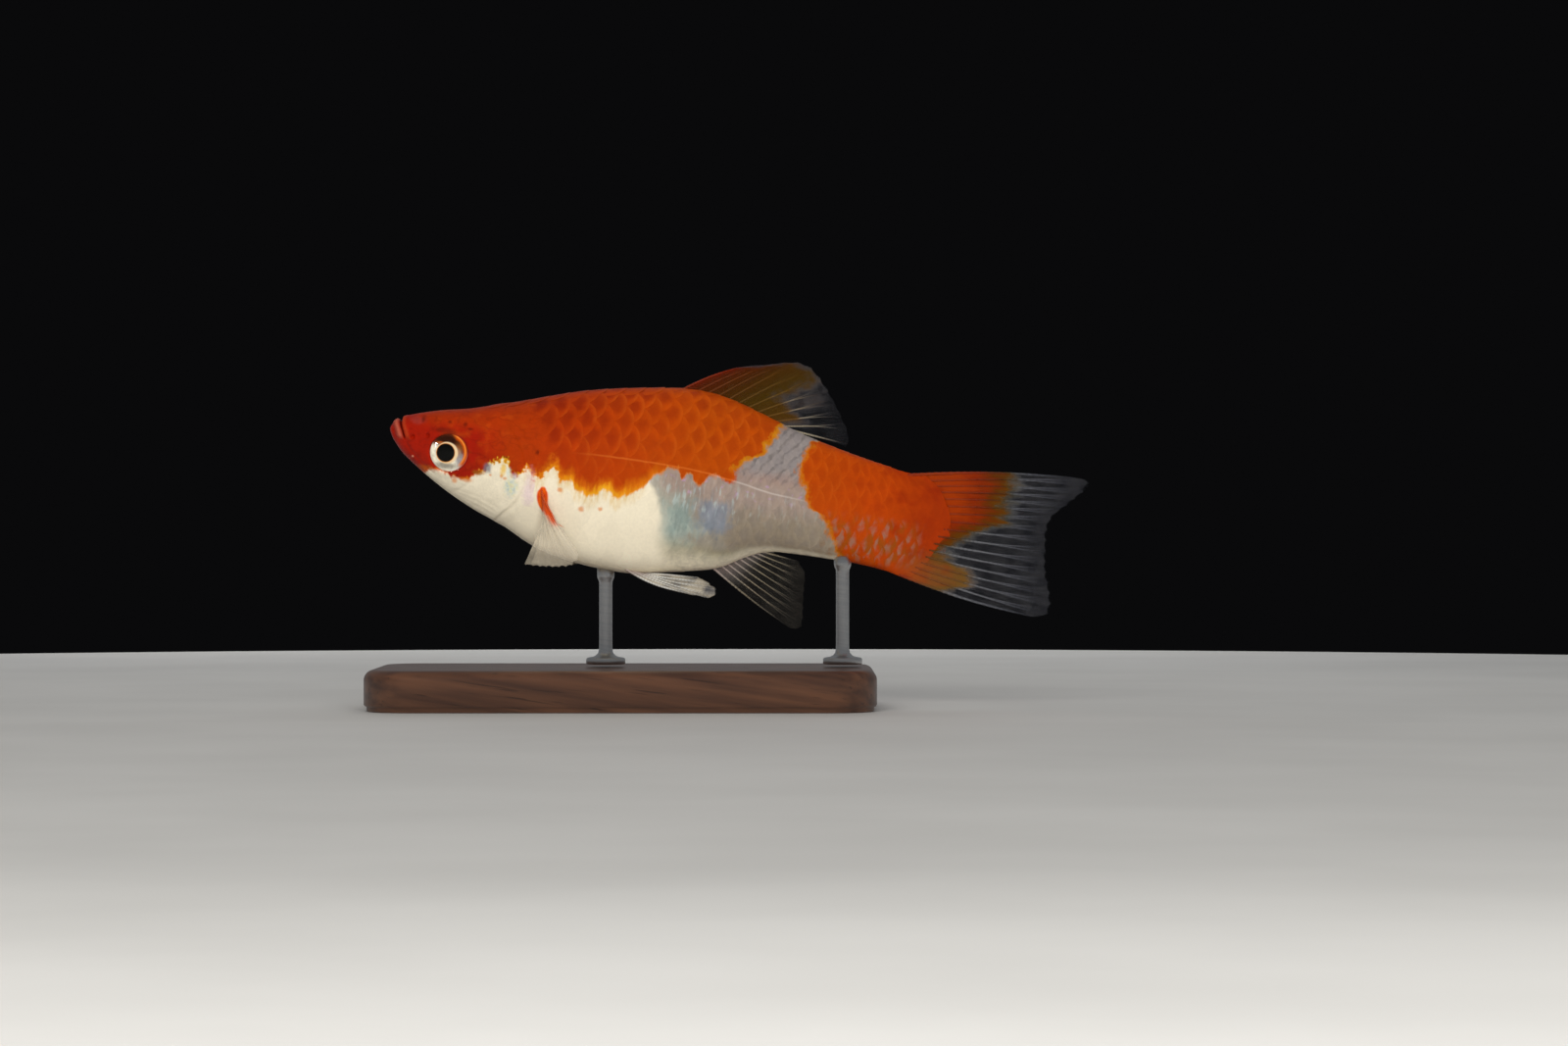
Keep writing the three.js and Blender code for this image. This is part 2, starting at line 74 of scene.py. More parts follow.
# Scales: spacing along the body, spacing of the staggered rows, and how a plate lifts from root to rim
SCALE_LENGTH = [(10, 2.0), (30, 2.0), (50, 1.4), (62, 1.2)]
SCALE_ROW = [(10, 2.0), (25, 2.0), (48, 1.62), (62, 1.45)]
SCALE_FRONT, SCALE_REAR, SCALE_HALF_HEIGHT = 0.6, 0.95, 1.1
SCALE_CLEAR, SCALE_SINK, SCALE_THICKNESS, SCALE_RIM = 0.012, 0.06, 0.022, 0.006
BELLY_RISE, BACK_RISE = 0.02, 0.06
SKIN_DEPTH = 0.1
BAKE_EDGE, BAKE_PATCH = 0.01, 0.003
RIM_ANGLE = 0.8
GILL_CLEARANCE = 0.2

# Fins: membrane and rays in mm, and the shares of a ray's length where it branches
MEMBRANE_HALF, FIN_WAVE, FIN_PLEAT, MARGIN_SCALLOP = 0.05, 0.12, 0.09, 0.018
RAY_HALF_WIDTH, RAY_TIP_WIDTH, RAY_FLATNESS, RAY_BEAD, RAY_SIDES = 0.11, 0.05, 1.2, 0.1, 6
FIRST_BRANCH, SECOND_BRANCH, BRANCH_RUN, BRANCH_OVERLAP = 0.42, 0.68, 0.15, 0.05
FIRST_SPREAD, SECOND_SPREAD = 0.21, 0.12
FIN_SUNK, EDGE_RAY, EDGE_RAY_THICKNESS = 1.6, 0.012, 1.25

# How many sides round bodies have
SKIN_SIDES, EYE_SIDES, ROD_SIDES, FLOOR_SIDES = 216, 96, 48, 128

BASE_CORNER, BASE_EDGE = 5.0, 1.1
ROD_REACH = 0.35

# Studio: photo middle from the tip of the lower lip in mm, distances in metres, lamps in watts
PHOTO_MIDDLE_X, PHOTO_MIDDLE_Z = 42.21, -10.13
CAMERA_DISTANCE = 0.4667
FLOOR_RADIUS, FLOOR_MIDDLE_Y = 275.0, -55.0
DOME_STRENGTH = 0.22
BACKDROP = (0.003, 0.003, 0.0033, 1)
KEY_WATTS, FILL_WATTS, RIM_WATTS, FAR_WATTS, GLINT_WATTS = 2.4, 2.2, 0.12, 0.5, 3.6


def smooth_curve(points):
    """A smooth curve through (x, value) points, as a function of an array of x."""
    xs, ys = np.array(points, float).T
    spans = np.diff(xs)
    slopes = np.empty(len(xs))
    slopes[1:-1] = (ys[2:] - ys[:-2]) / (xs[2:] - xs[:-2])
    slopes[0] = (ys[1] - ys[0]) / spans[0]
    slopes[-1] = (ys[-1] - ys[-2]) / spans[-1]

    def value(x):
        i = np.clip(np.searchsorted(xs, x, side="right") - 1, 0, len(xs) - 2)
        t = np.clip((x - xs[i]) / spans[i], 0, 1)
        s = 1 - t
        ends = ys[i] * s * s * (1 + 2 * t) + ys[i + 1] * t * t * (3 - 2 * t)
        return ends + spans[i] * (slopes[i] * t * s * s - slopes[i + 1] * t * t * s)

    return value


def across_curve(points):
    """The x of a line that runs up the side, given as (x, z) points from low to high, by z."""
    return smooth_curve([(z, x) for x, z in points])


def smoothstep(value, low, high):
    t = np.clip((value - low) / (high - low), 0, 1)
    return t * t * (3 - 2 * t)


def within(value, rise, fall):
    """1 between a soft rise and a soft fall, each given as (low, high)."""
    return smoothstep(value, *rise) * (1 - smoothstep(value, *fall))


def lerp(a, b, share):
    return a + (b - a) * share


def bell(distance, width):
    return np.exp(-((distance / width) ** 2))


def unit(vectors):
    return vectors / np.maximum(np.linalg.norm(vectors, axis=-1, keepdims=True), 1e-12)


def circle(sides):
    return np.arange(sides) * 2 * math.pi / sides


def grid(rows, columns):
    return np.meshgrid(rows, columns, indexing="ij")


# The body's shape, as in the solids
back = smooth_curve([
    (0, 0), (0.15, 0.55), (0.6, 1.08), (1.6, 1.62), (4.9, 2.62), (8.5, 3.38), (13.2, 4.84), (20.4, 7.02),
    (28.7, 8.5), (32, 8.74), (35.1, 8.42), (39.5, 7.14), (43.4, 5.78), (48.4, 4.46), (54.9, 3.2), (57, 3.1),
    (62, 3.3),
])
belly = smooth_curve([
    (0, 0), (0.15, -0.4), (0.6, -1.15), (2, -2.62), (6.4, -5.5), (10, -7.3), (12.4, -8.25), (16.6, -10.25),
    (19.8, -11.22), (24, -11.78), (28, -11.82), (31.1, -11.25), (34.3, -10.66), (37, -9.95), (40.4, -8.08),
    (43, -7.42), (50.9, -7.42), (54.2, -7.7), (57.1, -8.36), (62, -9.1),
])
half_width = smooth_curve([
    (0, 0), (0.15, 0.75), (0.6, 1.3), (1.6, 1.9), (3.5, 2.5), (6.5, 3.2), (10, 3.9), (15, 4.6), (20, 5.05),
    (26, 5.2), (32, 4.75), (38, 3.7), (44, 2.75), (50, 2.1), (55, 1.45), (58.5, 0.9), (62, 0.5),
])
widest_level = smooth_curve([(0, 0.5), (4, 0.56), (8, 0.6), (14, 0.52), (26, 0.44), (40, 0.48), (62, 0.5)])
upper_squareness = smooth_curve([(0, 2.4), (4, 2.8), (9, 2.6), (16, 2.1), (30, 1.85), (45, 1.9), (62, 2)])
lower_squareness = smooth_curve([(0, 2.3), (5, 2), (12, 1.9), (22, 2.2), (32, 2.1), (45, 1.9), (62, 2)])
gill_x = across_curve([
    (11.2, -9.4), (13, -7.5), (14.3, -6.2), (15.1, -4.8), (15.3, -3), (14.8, -1), (13.8, 0.8), (12.2, 2.6),
    (10.2, 5.2),
])
preopercle_x = across_curve([(7.4, -6.1), (9.1, -4.9), (9.9, -3.2), (10.1, -1.2), (9.7, 0.6), (8.8, 1.8)])
mouth_x = across_curve(MOUTH_LINE)
jaw_fold_x = across_curve([(5.6, -4.3), (4.2, -3.3), (2.9, -2.2), (2.05, -1.25), (1.7, -0.6)])
lateral_z = smooth_curve(LATERAL_LINE)


def section(x):
    """The body's top and bottom at x, and the level where it is widest."""
    top, bottom = back(x), belly(x)
    return top, bottom, bottom + widest_level(x) * (top - bottom)


def ring(x, angle):
    """y and z of the body's ring at x, turned by angle from the top over the left side."""
    top, bottom, middle = section(x)
    c, s = np.cos(angle), np.sin(angle)
    power = 2 / np.where(c > 0, upper_squareness(x), lower_squareness(x))
    reach = np.where(c > 0, top - middle, middle - bottom)
    y = -half_width(x) * np.sign(s) * np.abs(s) ** power
    return y, middle + reach * np.sign(c) * np.abs(c) ** power


def body_point(station, angle):
    """A point of the smooth body. Near the tail the stations bend to the arc of the fleshy end."""
    station, angle = np.broadcast_arrays(np.asarray(station, float), np.asarray(angle, float))
    share = np.clip((station - TAIL_BEND_START) / (TAIL_BEND_END - TAIL_BEND_START), 0, 1)
    x = station.copy()
    for _ in range(5):
        z = ring(x, angle)[1]
        end = TAIL_ARC_X + np.sqrt(np.maximum(TAIL_ARC_RADIUS**2 - (z - TAIL_ARC_Z) ** 2, 0))
        x = np.where(share > 0, TAIL_BEND_START + (end - TAIL_BEND_START) * share, station)
    y, z = ring(x, angle)
    thin = 1 - TAIL_END_THINNING * smoothstep(share, 0.3, 1)
    return np.stack([x, y * thin, z], -1)


def body_normal(station, angle):
    small_x = np.minimum(0.02, np.asarray(station, float) * 0.3 + 1e-4)
    small_turn = 0.01
    along = body_point(station + small_x, angle) - body_point(station - small_x, angle)
    around = body_point(station, angle + small_turn) - body_point(station, angle - small_turn)
    return unit(np.cross(around, along))


def side_reach(x, z):
    """How far the side stands from the middle plane at a point of the side view."""
    top, bottom, middle = section(x)
    upper = z > middle
    power = 2 / np.where(upper, upper_squareness(x), lower_squareness(x))
    height = np.clip(np.abs(z - middle) / np.where(upper, top - middle, middle - bottom), 0, 1)
    return half_width(x) * np.sqrt(1 - height ** (2 / power)) ** power


def mouth_relief(x, z, side):
    """A cleft between two rounded lips, and the fold behind the jaw."""
    mouth = (x - mouth_x(z)) * 0.93
    gape = lerp(0.08, 0.15, smoothstep(z, -0.3, 1.1))
    lips = 0.13 * bell(mouth - 0.42, 0.26) + 0.17 * bell(mouth + 0.4, 0.27)
    lips = lips * (1 - 0.7 * smoothstep(z, 0.5, 1.2)) - 0.07 * bell(mouth + 0.98, 0.16)
    cleft = lerp(0.4, 0.62, smoothstep(z, 0, 1.1)) * bell(mouth, gape)
    fold = 0.05 * bell((x - jaw_fold_x(z)) * 0.75, 0.2) * within(z, (-4.6, -3.8), (-1.6, -0.9)) * side
    return smoothstep(z, -1.1, -0.55) * (lips - cleft) - fold


def head_relief(x, z):
    """The eye's socket with a soft rim, and the nostrils."""
    from_eye = np.hypot(x - EYE_X, z - EYE_Z)
    above_eye = smoothstep(z - EYE_Z, 0.4, 1.6)
    rim = (0.06 + 0.12 * above_eye) * bell(from_eye - 2.36, 0.3)
    height = rim - 1.5 * (1 - smoothstep(from_eye + 0.12 * above_eye, 1.82, 2.14))
    for nostril_x, nostril_z in NOSTRILS:
        away = np.hypot(x - nostril_x, z - nostril_z)
        height += 0.06 * bell(away - 0.34, 0.12) - 0.3 * bell(away, 0.19)
    return height


def gill_relief(x, z):
    """The gill cover: a low dome whose rear edge stands over the gill opening, with a fold before it."""
    behind_gill = (x - gill_x(z)) * 0.92
    dome = bell(behind_gill, 1.6) * (1 - smoothstep(behind_gill, -0.05, 0.12))
    edge = 0.1 * dome - 0.05 * bell(behind_gill - 0.25, 0.4)
    behind_fold = (x - preopercle_x(z)) * 0.95
    fold = 0.04 * bell(behind_fold + 0.7, 0.5) - 0.05 * bell(behind_fold, 0.24)
    return edge * within(z, (-9.3, -8.2), (0.9, 2.4)) + fold * within(z, (-6.0, -5.2), (0.9, 1.9))


def relief(point):
    """Folds and swellings of the skin, in mm outwards, at points of the smooth body."""
    x, y, z = np.moveaxis(point, -1, 0)
    side = smoothstep(np.abs(y), 0.5, 1.2)
    shoulder = 0.3 * bell(np.hypot(x - 17.0, (z + 5.5) * 0.8), 1.3)
    height = mouth_relief(x, z, side) + side * (head_relief(x, z) + gill_relief(x, z) + shoulder)
    throat = smoothstep(x, 6.2, 8) * (1 - smoothstep((x - gill_x(z)) * 0.92, -1.2, -0.3))
    for low in (0.55, 1.05, 1.6):
        height -= 0.03 * bell(z - belly(x) - low * smoothstep(x, 5, 11), 0.16) * throat
    return height


def skin_point(station, angle, lift=0.0):
    """A point of the skin, which lies under the solids' surface behind the head, to leave room for scales."""
    point = body_point(station, angle)
    x, _, z = np.moveaxis(point, -1, 0)
    height = relief(point) - SKIN_DEPTH * smoothstep(x - gill_x(z), 0.3, 2.0) + lift
    return point + body_normal(station, angle) * height[..., None]


def eye_surface(x, z, height):
    """Points over the smooth side of the head, raised by height along its outward direction."""
    small = 0.05
    reach = side_reach(x, z)
    slope_x = (side_reach(x + small, z) - side_reach(x - small, z)) / (2 * small)
    slope_z = (side_reach(x, z + small) - side_reach(x, z - small)) / (2 * small)
    outward = unit(np.stack([-slope_x, -np.ones_like(x), -slope_z], -1))
    return np.stack([x, -reach, z], -1) + outward * height[..., None]


# The fish's own frame put into the solids' frame, by the box of the solid left eye
TILT_MATRIX = np.array(Euler((0, HEAD_UP_TILT, 0)).to_matrix())


def frame_shift():
    radii, heights = np.array(EYE_SOLID).T
    radius, turn = grid(radii, circle(EYE_SOLID_SIDES))
    rings = eye_surface(
        EYE_X + radius * np.cos(turn), EYE_Z + radius * np.sin(turn), heights[:, None] + 0 * turn,
    )
    tilted = rings.reshape(-1, 3) @ TILT_MATRIX.T * MM
    low, high = (np.array(corner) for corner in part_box("eye_left"))
    return (low + high - tilted.min(axis=0) - tilted.max(axis=0)) / 2


SHIFT = frame_shift()


# Meshes


def mesh_piece(name, vertices, faces, material, uv_maps=(), values=()):
    """A smooth-shaded piece from points of the fish's own frame. uv_maps and values are (name, rows)."""
    mesh = bpy.data.meshes.new(name)
    mesh.from_pydata((vertices @ TILT_MATRIX.T * MM + SHIFT).tolist(), [], faces)
    mesh.polygons.foreach_set("use_smooth", [True] * len(mesh.polygons))
    corners = np.empty(len(mesh.loops), np.int32)
    mesh.loops.foreach_get("vertex_index", corners)
    for map_name, rows in uv_maps:
        layer = mesh.uv_layers.new(name=map_name)
        layer.uv.foreach_set("vector", np.asarray(rows, np.float32)[corners].ravel())
    for value_name, rows in values:
        layer = mesh.attributes.new(value_name, "FLOAT", "POINT")
        layer.data.foreach_set("value", np.asarray(rows, np.float32))
    mesh.materials.append(material)
    mesh.validate()
    mesh.update()
    piece = bpy.data.objects.new(name, mesh)
    bpy.context.scene.collection.objects.link(piece)
    return piece


def grid_faces(rows, columns, closed_columns=False):
    """Quads over a rows by columns grid of vertices."""
    i, j = grid(np.arange(rows - 1), np.arange(columns - (not closed_columns)))
    here, beside = i * columns + j, i * columns + (j + 1) % columns
    return np.stack([here, beside, beside + columns, here + columns], -1).reshape(-1, 4)


def closed_rings(rings):
    """Vertices and faces of a closed body, from a grid (ring, point, xyz) with a flat end at each end."""
    count, sides, _ = rings.shape
    ends = [np.arange(sides)[::-1].tolist(), ((count - 1) * sides + np.arange(sides)).tolist()]
    return rings.reshape(-1, 3), grid_faces(count, sides, closed_columns=True).tolist() + ends


def facing_out(vertices, faces):
    """The faces turned so that their normals point out of the closed surface."""
    total = 0.0
    for size in {len(face) for face in faces}:
        same = np.array([face for face in faces if len(face) == size])
        for k in range(1, size - 1):
            a, b, c = (vertices[same[:, corner]] for corner in (0, k, k + 1))
            total += np.einsum("ij,ij->", a, np.cross(b, c))
    return [face[::-1] for face in faces] if total < 0 else faces


def closed_sheets(front, rear):
    """Vertices and quads of closed thin plates, from like grids (plate, row, column, xyz)."""
    plates, rows, columns, _ = front.shape
    size = rows * columns
    face = grid_faces(rows, columns)
    i, j = np.arange(rows), np.arange(columns)
    edge = np.concatenate([
        j[:-1], i[:-1] * columns + columns - 1, (rows - 1) * columns + j[:0:-1], i[:0:-1] * columns,
    ])
    following = np.roll(edge, -1)
    rim = np.stack([following, edge, edge + size, following + size], -1)
    one = np.concatenate([face, face[:, ::-1] + size, rim])
    faces = (one[None] + (np.arange(plates) * 2 * size)[:, None, None]).reshape(-1, 4)
    vertices = np.stack([front.reshape(plates, size, 3), rear.reshape(plates, size, 3)], 1).reshape(-1, 3)
    return vertices, faces


# Skin


def spaced(stops):
    """Positions whose spacing follows (position, spacing) stops."""
    places, gaps = np.array(stops, float).T
    found = [places[0]]
    while found[-1] < places[-1]:
        found.append(found[-1] + np.interp(found[-1], places, gaps))
    found = np.array(found)
    return found * places[-1] / found[-1]


def skin_piece(material):
    """One closed skin from lips to tail, with its folds."""
    stations = spaced([
        (0.0, 0.012), (0.3, 0.03), (0.8, 0.035), (2.2, 0.045), (4, 0.075), (9, 0.085), (11, 0.075),
        (15.5, 0.075), (17, 0.12), (20, 0.32), (50, 0.36), (TAIL_BEND_END, 0.3),
    ])[1:]
    count, sides = len(stations), SKIN_SIDES
    rings = skin_point(*grid(stations, circle(sides)))
    tip = rings[0].mean(axis=0) - [0.01, 0, 0]
    vertices = np.concatenate([rings.reshape(-1, 3), [tip]])
    faces = grid_faces(count, sides, closed_columns=True).tolist()
    faces += [[count * sides, (j + 1) % sides, j] for j in range(sides)]
    last = (count - 1) * sides
    for j in range(sides // 2):
        across = [last + j, last + j + 1, last + (sides - j - 1) % sides, last + (sides - j) % sides]
        faces.append([k for i, k in enumerate(across) if k not in across[:i]][::-1])
    share = np.append(np.repeat(np.arange(count) / count, sides), 0)
    turn = np.append(np.tile(np.arange(sides) / sides, count), 0.5)
    unwrap = lerp(BAKE_EDGE, 1 - BAKE_EDGE, np.stack([share, turn], -1))
    return mesh_piece("skin", vertices, faces, material, [("OFBake", unwrap)])


# Scales

ARC_STATIONS = np.linspace(8, TAIL_BEND_END, 215)
ARC_SHARES = np.linspace(0, 1, 241)
PLATE_ALONG = np.linspace(0, 1, 9) ** 0.85
PLATE_ACROSS = np.sin(np.linspace(-1, 1, 11) * math.pi / 2)


def read_off(x, points):
    """The value at x of the straight lines between (x, value) points."""
    return np.interp(x, *zip(*points))


def arc_tables():
    """By station: the half girth, the angle at each share of it, and the share at the lateral line."""
    turns = np.linspace(0, math.pi, 481)
    points = body_point(*grid(ARC_STATIONS, turns))
    steps = np.linalg.norm(np.diff(points, axis=1), axis=-1)
    arcs = np.concatenate([np.zeros((len(ARC_STATIONS), 1)), np.cumsum(steps, axis=1)], 1)
    shares = arcs / arcs[:, -1:]
    angles = np.array([np.interp(ARC_SHARES, row, turns) for row in shares])
    below_line = lateral_z(points[..., 0]) - points[..., 2]
    return arcs[:, -1], angles, np.array([np.interp(0, *rows) for rows in zip(below_line, shares)])


HALF_GIRTH, ARC_ANGLES, LATERAL_SHARE = arc_tables()
SCALE_STEPS = np.append(0, np.cumsum(
    np.diff(ARC_STATIONS) / read_off((ARC_STATIONS[1:] + ARC_STATIONS[:-1]) / 2, SCALE_LENGTH)
))


def turn_at(station, share):
    """The angle at a share of the half girth; past 0 or 1 it goes over to the other side."""
    inner = np.where(share < 0, -share, np.where(share > 1, 2 - share, share))
    spacing = ARC_STATIONS[1] - ARC_STATIONS[0]
    row = np.clip((station - ARC_STATIONS[0]) / spacing, 0, len(ARC_STATIONS) - 1.001)
    column = np.clip(inner, 0, 1) * (len(ARC_SHARES) - 1.001)
    i, j = row.astype(int), column.astype(int)
    found = lerp(
        lerp(ARC_ANGLES[i, j], ARC_ANGLES[i + 1, j], row - i),
        lerp(ARC_ANGLES[i, j + 1], ARC_ANGLES[i + 1, j + 1], row - i), column - j,
    )
    return np.where(share < 0, -found, np.where(share > 1, 2 * math.pi - found, found))


def scale_plates(steps, rows, sizes, midline=None, lift=0.0):
    """Outer and inner grids of the plates at places of the lattice, with their stations and shares."""
    rear = SCALE_REAR * np.sqrt(1 - np.abs(PLATE_ACROSS) ** 2.3)
    reach = -SCALE_FRONT + (rear + SCALE_FRONT) * PLATE_ALONG[:, None]
    size = sizes[:, None, None]
    station = np.interp(steps[:, None, None] + reach * size, SCALE_STEPS, ARC_STATIONS)
    sideways = rows[:, None, None] + PLATE_ACROSS * SCALE_HALF_HEIGHT * size
    line = np.interp(station, ARC_STATIONS, LATERAL_SHARE) if midline is None else midline
    girth = np.interp(station, ARC_STATIONS, HALF_GIRTH)
    share = line + sideways * read_off(station, SCALE_ROW) / girth
    angle = turn_at(station, share)
    rise = (reach + SCALE_FRONT) / (SCALE_REAR + SCALE_FRONT)
    above_line = body_point(station, angle)[..., 2] - lateral_z(station)
    slope = lerp(BELLY_RISE, BACK_RISE, smoothstep(above_line, -3.5, 0.5) * smoothstep(station, 12, 24))
    sunk = SCALE_SINK * (1 - smoothstep(rise, 0.05, 0.32))
    height = SCALE_CLEAR + slope * rise - sunk + lift
    from_middle = np.maximum(np.abs(PLATE_ACROSS), PLATE_ALONG[:, None])
    thickness = lerp(SCALE_THICKNESS, SCALE_RIM, smoothstep(from_middle, 0.65, 0.97))
    return skin_point(station, angle, height), skin_point(station, angle, height - thickness), station, share


def plate_mesh(name, plates, side, material, draw):
    """The joined plates, with a map over each plate, a tone for each, and their places on the skin."""
    outer, inner, station, share = plates
    vertices, faces = closed_sheets(outer, inner)
    one = np.stack(grid(PLATE_ALONG, (PLATE_ACROSS + 1) / 2), -1).reshape(-1, 2)
    over_plate = np.tile(one, (len(outer) * 2, 1))
    tone = np.repeat(draw.uniform(0, 1, len(outer)), 2 * len(one))
    root = (slice(None), 0, len(PLATE_ACROSS) // 2)
    place = np.stack([station[root] / TAIL_BEND_END, 0.5 + 0.5 * side * np.clip(share[root], -1, 1)], -1)
    patch = lerp(BAKE_EDGE, 1 - BAKE_EDGE, np.repeat(place, 2 * len(one), axis=0))
    maps = [("OFBake", patch + (over_plate - 0.5) * BAKE_PATCH), ("plate", over_plate)]
    # Mirroring turns the plates' faces inwards, so their corners are taken the other way round
    vertices, faces = vertices * [1, side, 1], faces[:, ::side].tolist()
    coat = mesh_piece(name, vertices, faces, material, maps, [("tone", tone)])
    coat.data.set_sharp_from_angle(angle=RIM_ANGLE)
    return coat


def scale_piece(name, side, material, seed):
    """Every scale of one side as a thin closed plate, rooted in front and lying over the next."""
    draw = np.random.default_rng(seed)
    found = []
    for row in range(-9, 10):
        steps = np.arange(1, SCALE_STEPS[-1] - SCALE_REAR - 0.1) + 0.5 * (row % 2)
        middle = np.interp(steps + 0.3, SCALE_STEPS, ARC_STATIONS)
        gap = read_off(middle, SCALE_ROW) / np.interp(middle, ARC_STATIONS, HALF_GIRTH)
        share = np.interp(middle, ARC_STATIONS, LATERAL_SHARE) + row * gap
        found += [(step, row) for step in steps[(0.3 * gap < share) & (share < 1 - 0.3 * gap)]]
    steps, rows = np.array(found, float).T
    steps = steps + draw.uniform(-0.03, 0.03, len(steps))
    plates = scale_plates(steps, rows, draw.uniform(0.96, 1.05, len(steps)))
    from_gill = (plates[0][..., 0] - gill_x(plates[0][..., 2])).min(axis=(1, 2))
    clear = [rows[from_gill > GILL_CLEARANCE] for rows in plates]
    return plate_mesh(name, clear, side, material, draw)


def midline_scale_piece(name, material, seed):
    """Single rows of scales along the back and under the belly, clear of the fins."""
    stretches = []
    for midline, *ends in ((0.0, 9.6, 29.6), (0.0, 45.4, 56.5), (1.0, 14.5, 35.2), (1.0, 43.2, 56.5)):
        low, high = np.interp(ends, ARC_STATIONS, SCALE_STEPS)
        steps = np.arange(low + SCALE_FRONT, high - SCALE_REAR)
        stretches.append(scale_plates(steps, 0 * steps, 0 * steps + 0.95, midline, lift=0.02))
    plates = [np.concatenate(grids) for grids in zip(*stretches)]
    return plate_mesh(name, plates, 1, material, np.random.default_rng(seed))


# Fins


def line_through(points):
    """A smooth line through (x, z) or (x, y, z) points, by share of its length."""
    rows = np.array([(p[0], 0, p[1]) if len(p) == 2 else p for p in points], float)
    ends = np.concatenate([[2 * rows[0] - rows[1]], rows, [2 * rows[-1] - rows[-2]]])
    t = np.linspace(0, 1, 41)[:-1, None]
    found = []
    for p0, p1, p2, p3 in zip(ends, ends[1:], ends[2:], ends[3:]):
        g0, g1, g2 = (np.linalg.norm(b - a) ** 0.5 for a, b in ((p0, p1), (p1, p2), (p2, p3)))
        m1 = ((p1 - p0) / g0 - (p2 - p0) / (g0 + g1) + (p2 - p1) / g1) * g1
        m2 = ((p2 - p1) / g1 - (p3 - p1) / (g1 + g2) + (p3 - p2) / g2) * g1
        found.append(
            p1 * (1 + 2 * t) * (1 - t) ** 2 + m1 * t * (1 - t) ** 2
            + p2 * t * t * (3 - 2 * t) - m2 * t * t * (1 - t)
        )
    line = np.concatenate(found + [rows[-1:]])
    lengths = np.concatenate([[0], np.cumsum(np.linalg.norm(np.diff(line, axis=0), axis=1))])

    def at(share):
        return np.stack([np.interp(share * lengths[-1], lengths, line[:, k]) for k in range(3)], -1)

    return at


def along_middle(first_x, last_x, height):
    """A root line in the middle plane, on the back or the belly."""
    def at(share):
        x = lerp(first_x, last_x, share)
        return np.stack([x, 0 * x, height(x)], -1)
    return at


def pectoral_root(share):
    x, z = 17.55 + 0.75 * share**2, lerp(-4.4, -6.9, share)
    return np.stack([x, -side_reach(x, z), z], -1)


def same(share, *values):
    return np.stack([value + 0 * share for value in values], -1)


def layout(rays, root, margin, bow, across=(0, 1, 0), **others):
    """A fin from its root line to its margin, with rays that bow out and lie across the given direction."""
    facts = {"sunk": FIN_SUNK, "peak": 0.5, "thick": 1, "branches": 2, **others}
    across = unit(np.array(across, float))
    return SimpleNamespace(rays=rays, root=root, margin=margin, bow=bow, across=across, **facts)


FINS = {
    "dorsal": layout(
        12, along_middle(30.9, 43.9, back),
        line_through([
            (35.9, 11.6), (37.4, 12.05), (39.1, 12.4), (41.4, 12.98), (42.9, 13.05), (44.1, 12.5),
            (45.7, 10.85), (47, 9.1), (48.4, 6.9), (48.9, 5.7), (48.7, 4.95),
        ]),
        bow=lambda u: same(u, 0, 0.25 * u, 0.3 * (1 - u)),
    ),
    "anal": layout(
        9, along_middle(36.6, 41.9, belly),
        line_through([
            (45.4, -15.2), (46.3, -15.25), (46.7, -14.6), (46.55, -12.9), (46.36, -10.8), (46.2, -9.2),
            (45.2, -7.95),
        ]),
        bow=lambda u: same(u, 0.1, -0.2, -0.3 * (1 - u)),
    ),
    "tail": layout(
        17, line_through([(56.3, 2.9), (58.6, 1.4), (60.1, -1), (60.4, -3.6), (59.3, -6.4), (57, -8.1)]),
        line_through([
            (73.4, 4.98), (74.7, 4.92), (74.95, 4.5), (74.6, 3.7), (73.15, 2.12), (71.6, 0.4), (71.25, -1),
            (71.4, -3), (71.75, -5.4), (72.5, -7.6), (72.75, -9.2), (72.3, -10.1), (71, -10.42),
        ]),
        bow=lambda u: same(u, 0, 0.5 * np.sin(2 * math.pi * u), 0.42 * (1 - 2 * u)),
        branches=4, thick=1.45,
    ),
    "pectoral": layout(
        11, pectoral_root,
        line_through([
            (21.6, -6.3, -9.6), (22.2, -6.5, -10.6), (21.7, -6.6, -11.6), (20.3, -6.6, -12.1),
            (18.4, -6.5, -12.3), (16.6, -6.2, -12.3),
        ]),
        bow=lambda u: same(u, -0.5 * (1 - u), -1.1, 0),
        across=(0.24, 0.95, -0.19), sunk=0.4, peak=0.36,
    ),
    "pelvic": layout(
        6, line_through([(28.3, -1.7, -11.6), (29.9, -0.65, -11.6)]),
        line_through([
            (34.9, -3, -13.15), (36.6, -2.6, -13), (37.1, -2, -12.5), (36.3, -1.5, -11.8),
            (34.9, -1.2, -11.1),
        ]),
        bow=lambda u: same(u, -0.3, -0.3, -0.35 * (1 - u)),
        across=(0, 0.62, -0.78),
    ),
}


def fin_point(fin, u, v):
    """The middle of a fin's sheet: u from its first ray to its last, v from inside the body to the margin."""
    root, margin = fin.root(u), fin.margin(u)
    start = root + unit(root - margin) * fin.sunk
    bent = np.sin(math.pi * np.clip(v, 0, 1) ** (math.log(0.5) / math.log(fin.peak)))
    return lerp(start, margin, v[..., None]) + fin.bow(u) * bent[..., None]


def fin_wave(u, v):
    return FIN_WAVE * np.sin(u * 9.4 + v * 5.2) * v


def ray_middles(fin):
    """Where each ray lies between a fin's first edge and its last."""
    middles = (np.arange(fin.rays) + 0.5) / fin.rays
    middles[[0, -1]] = EDGE_RAY, 1 - EDGE_RAY
    return middles


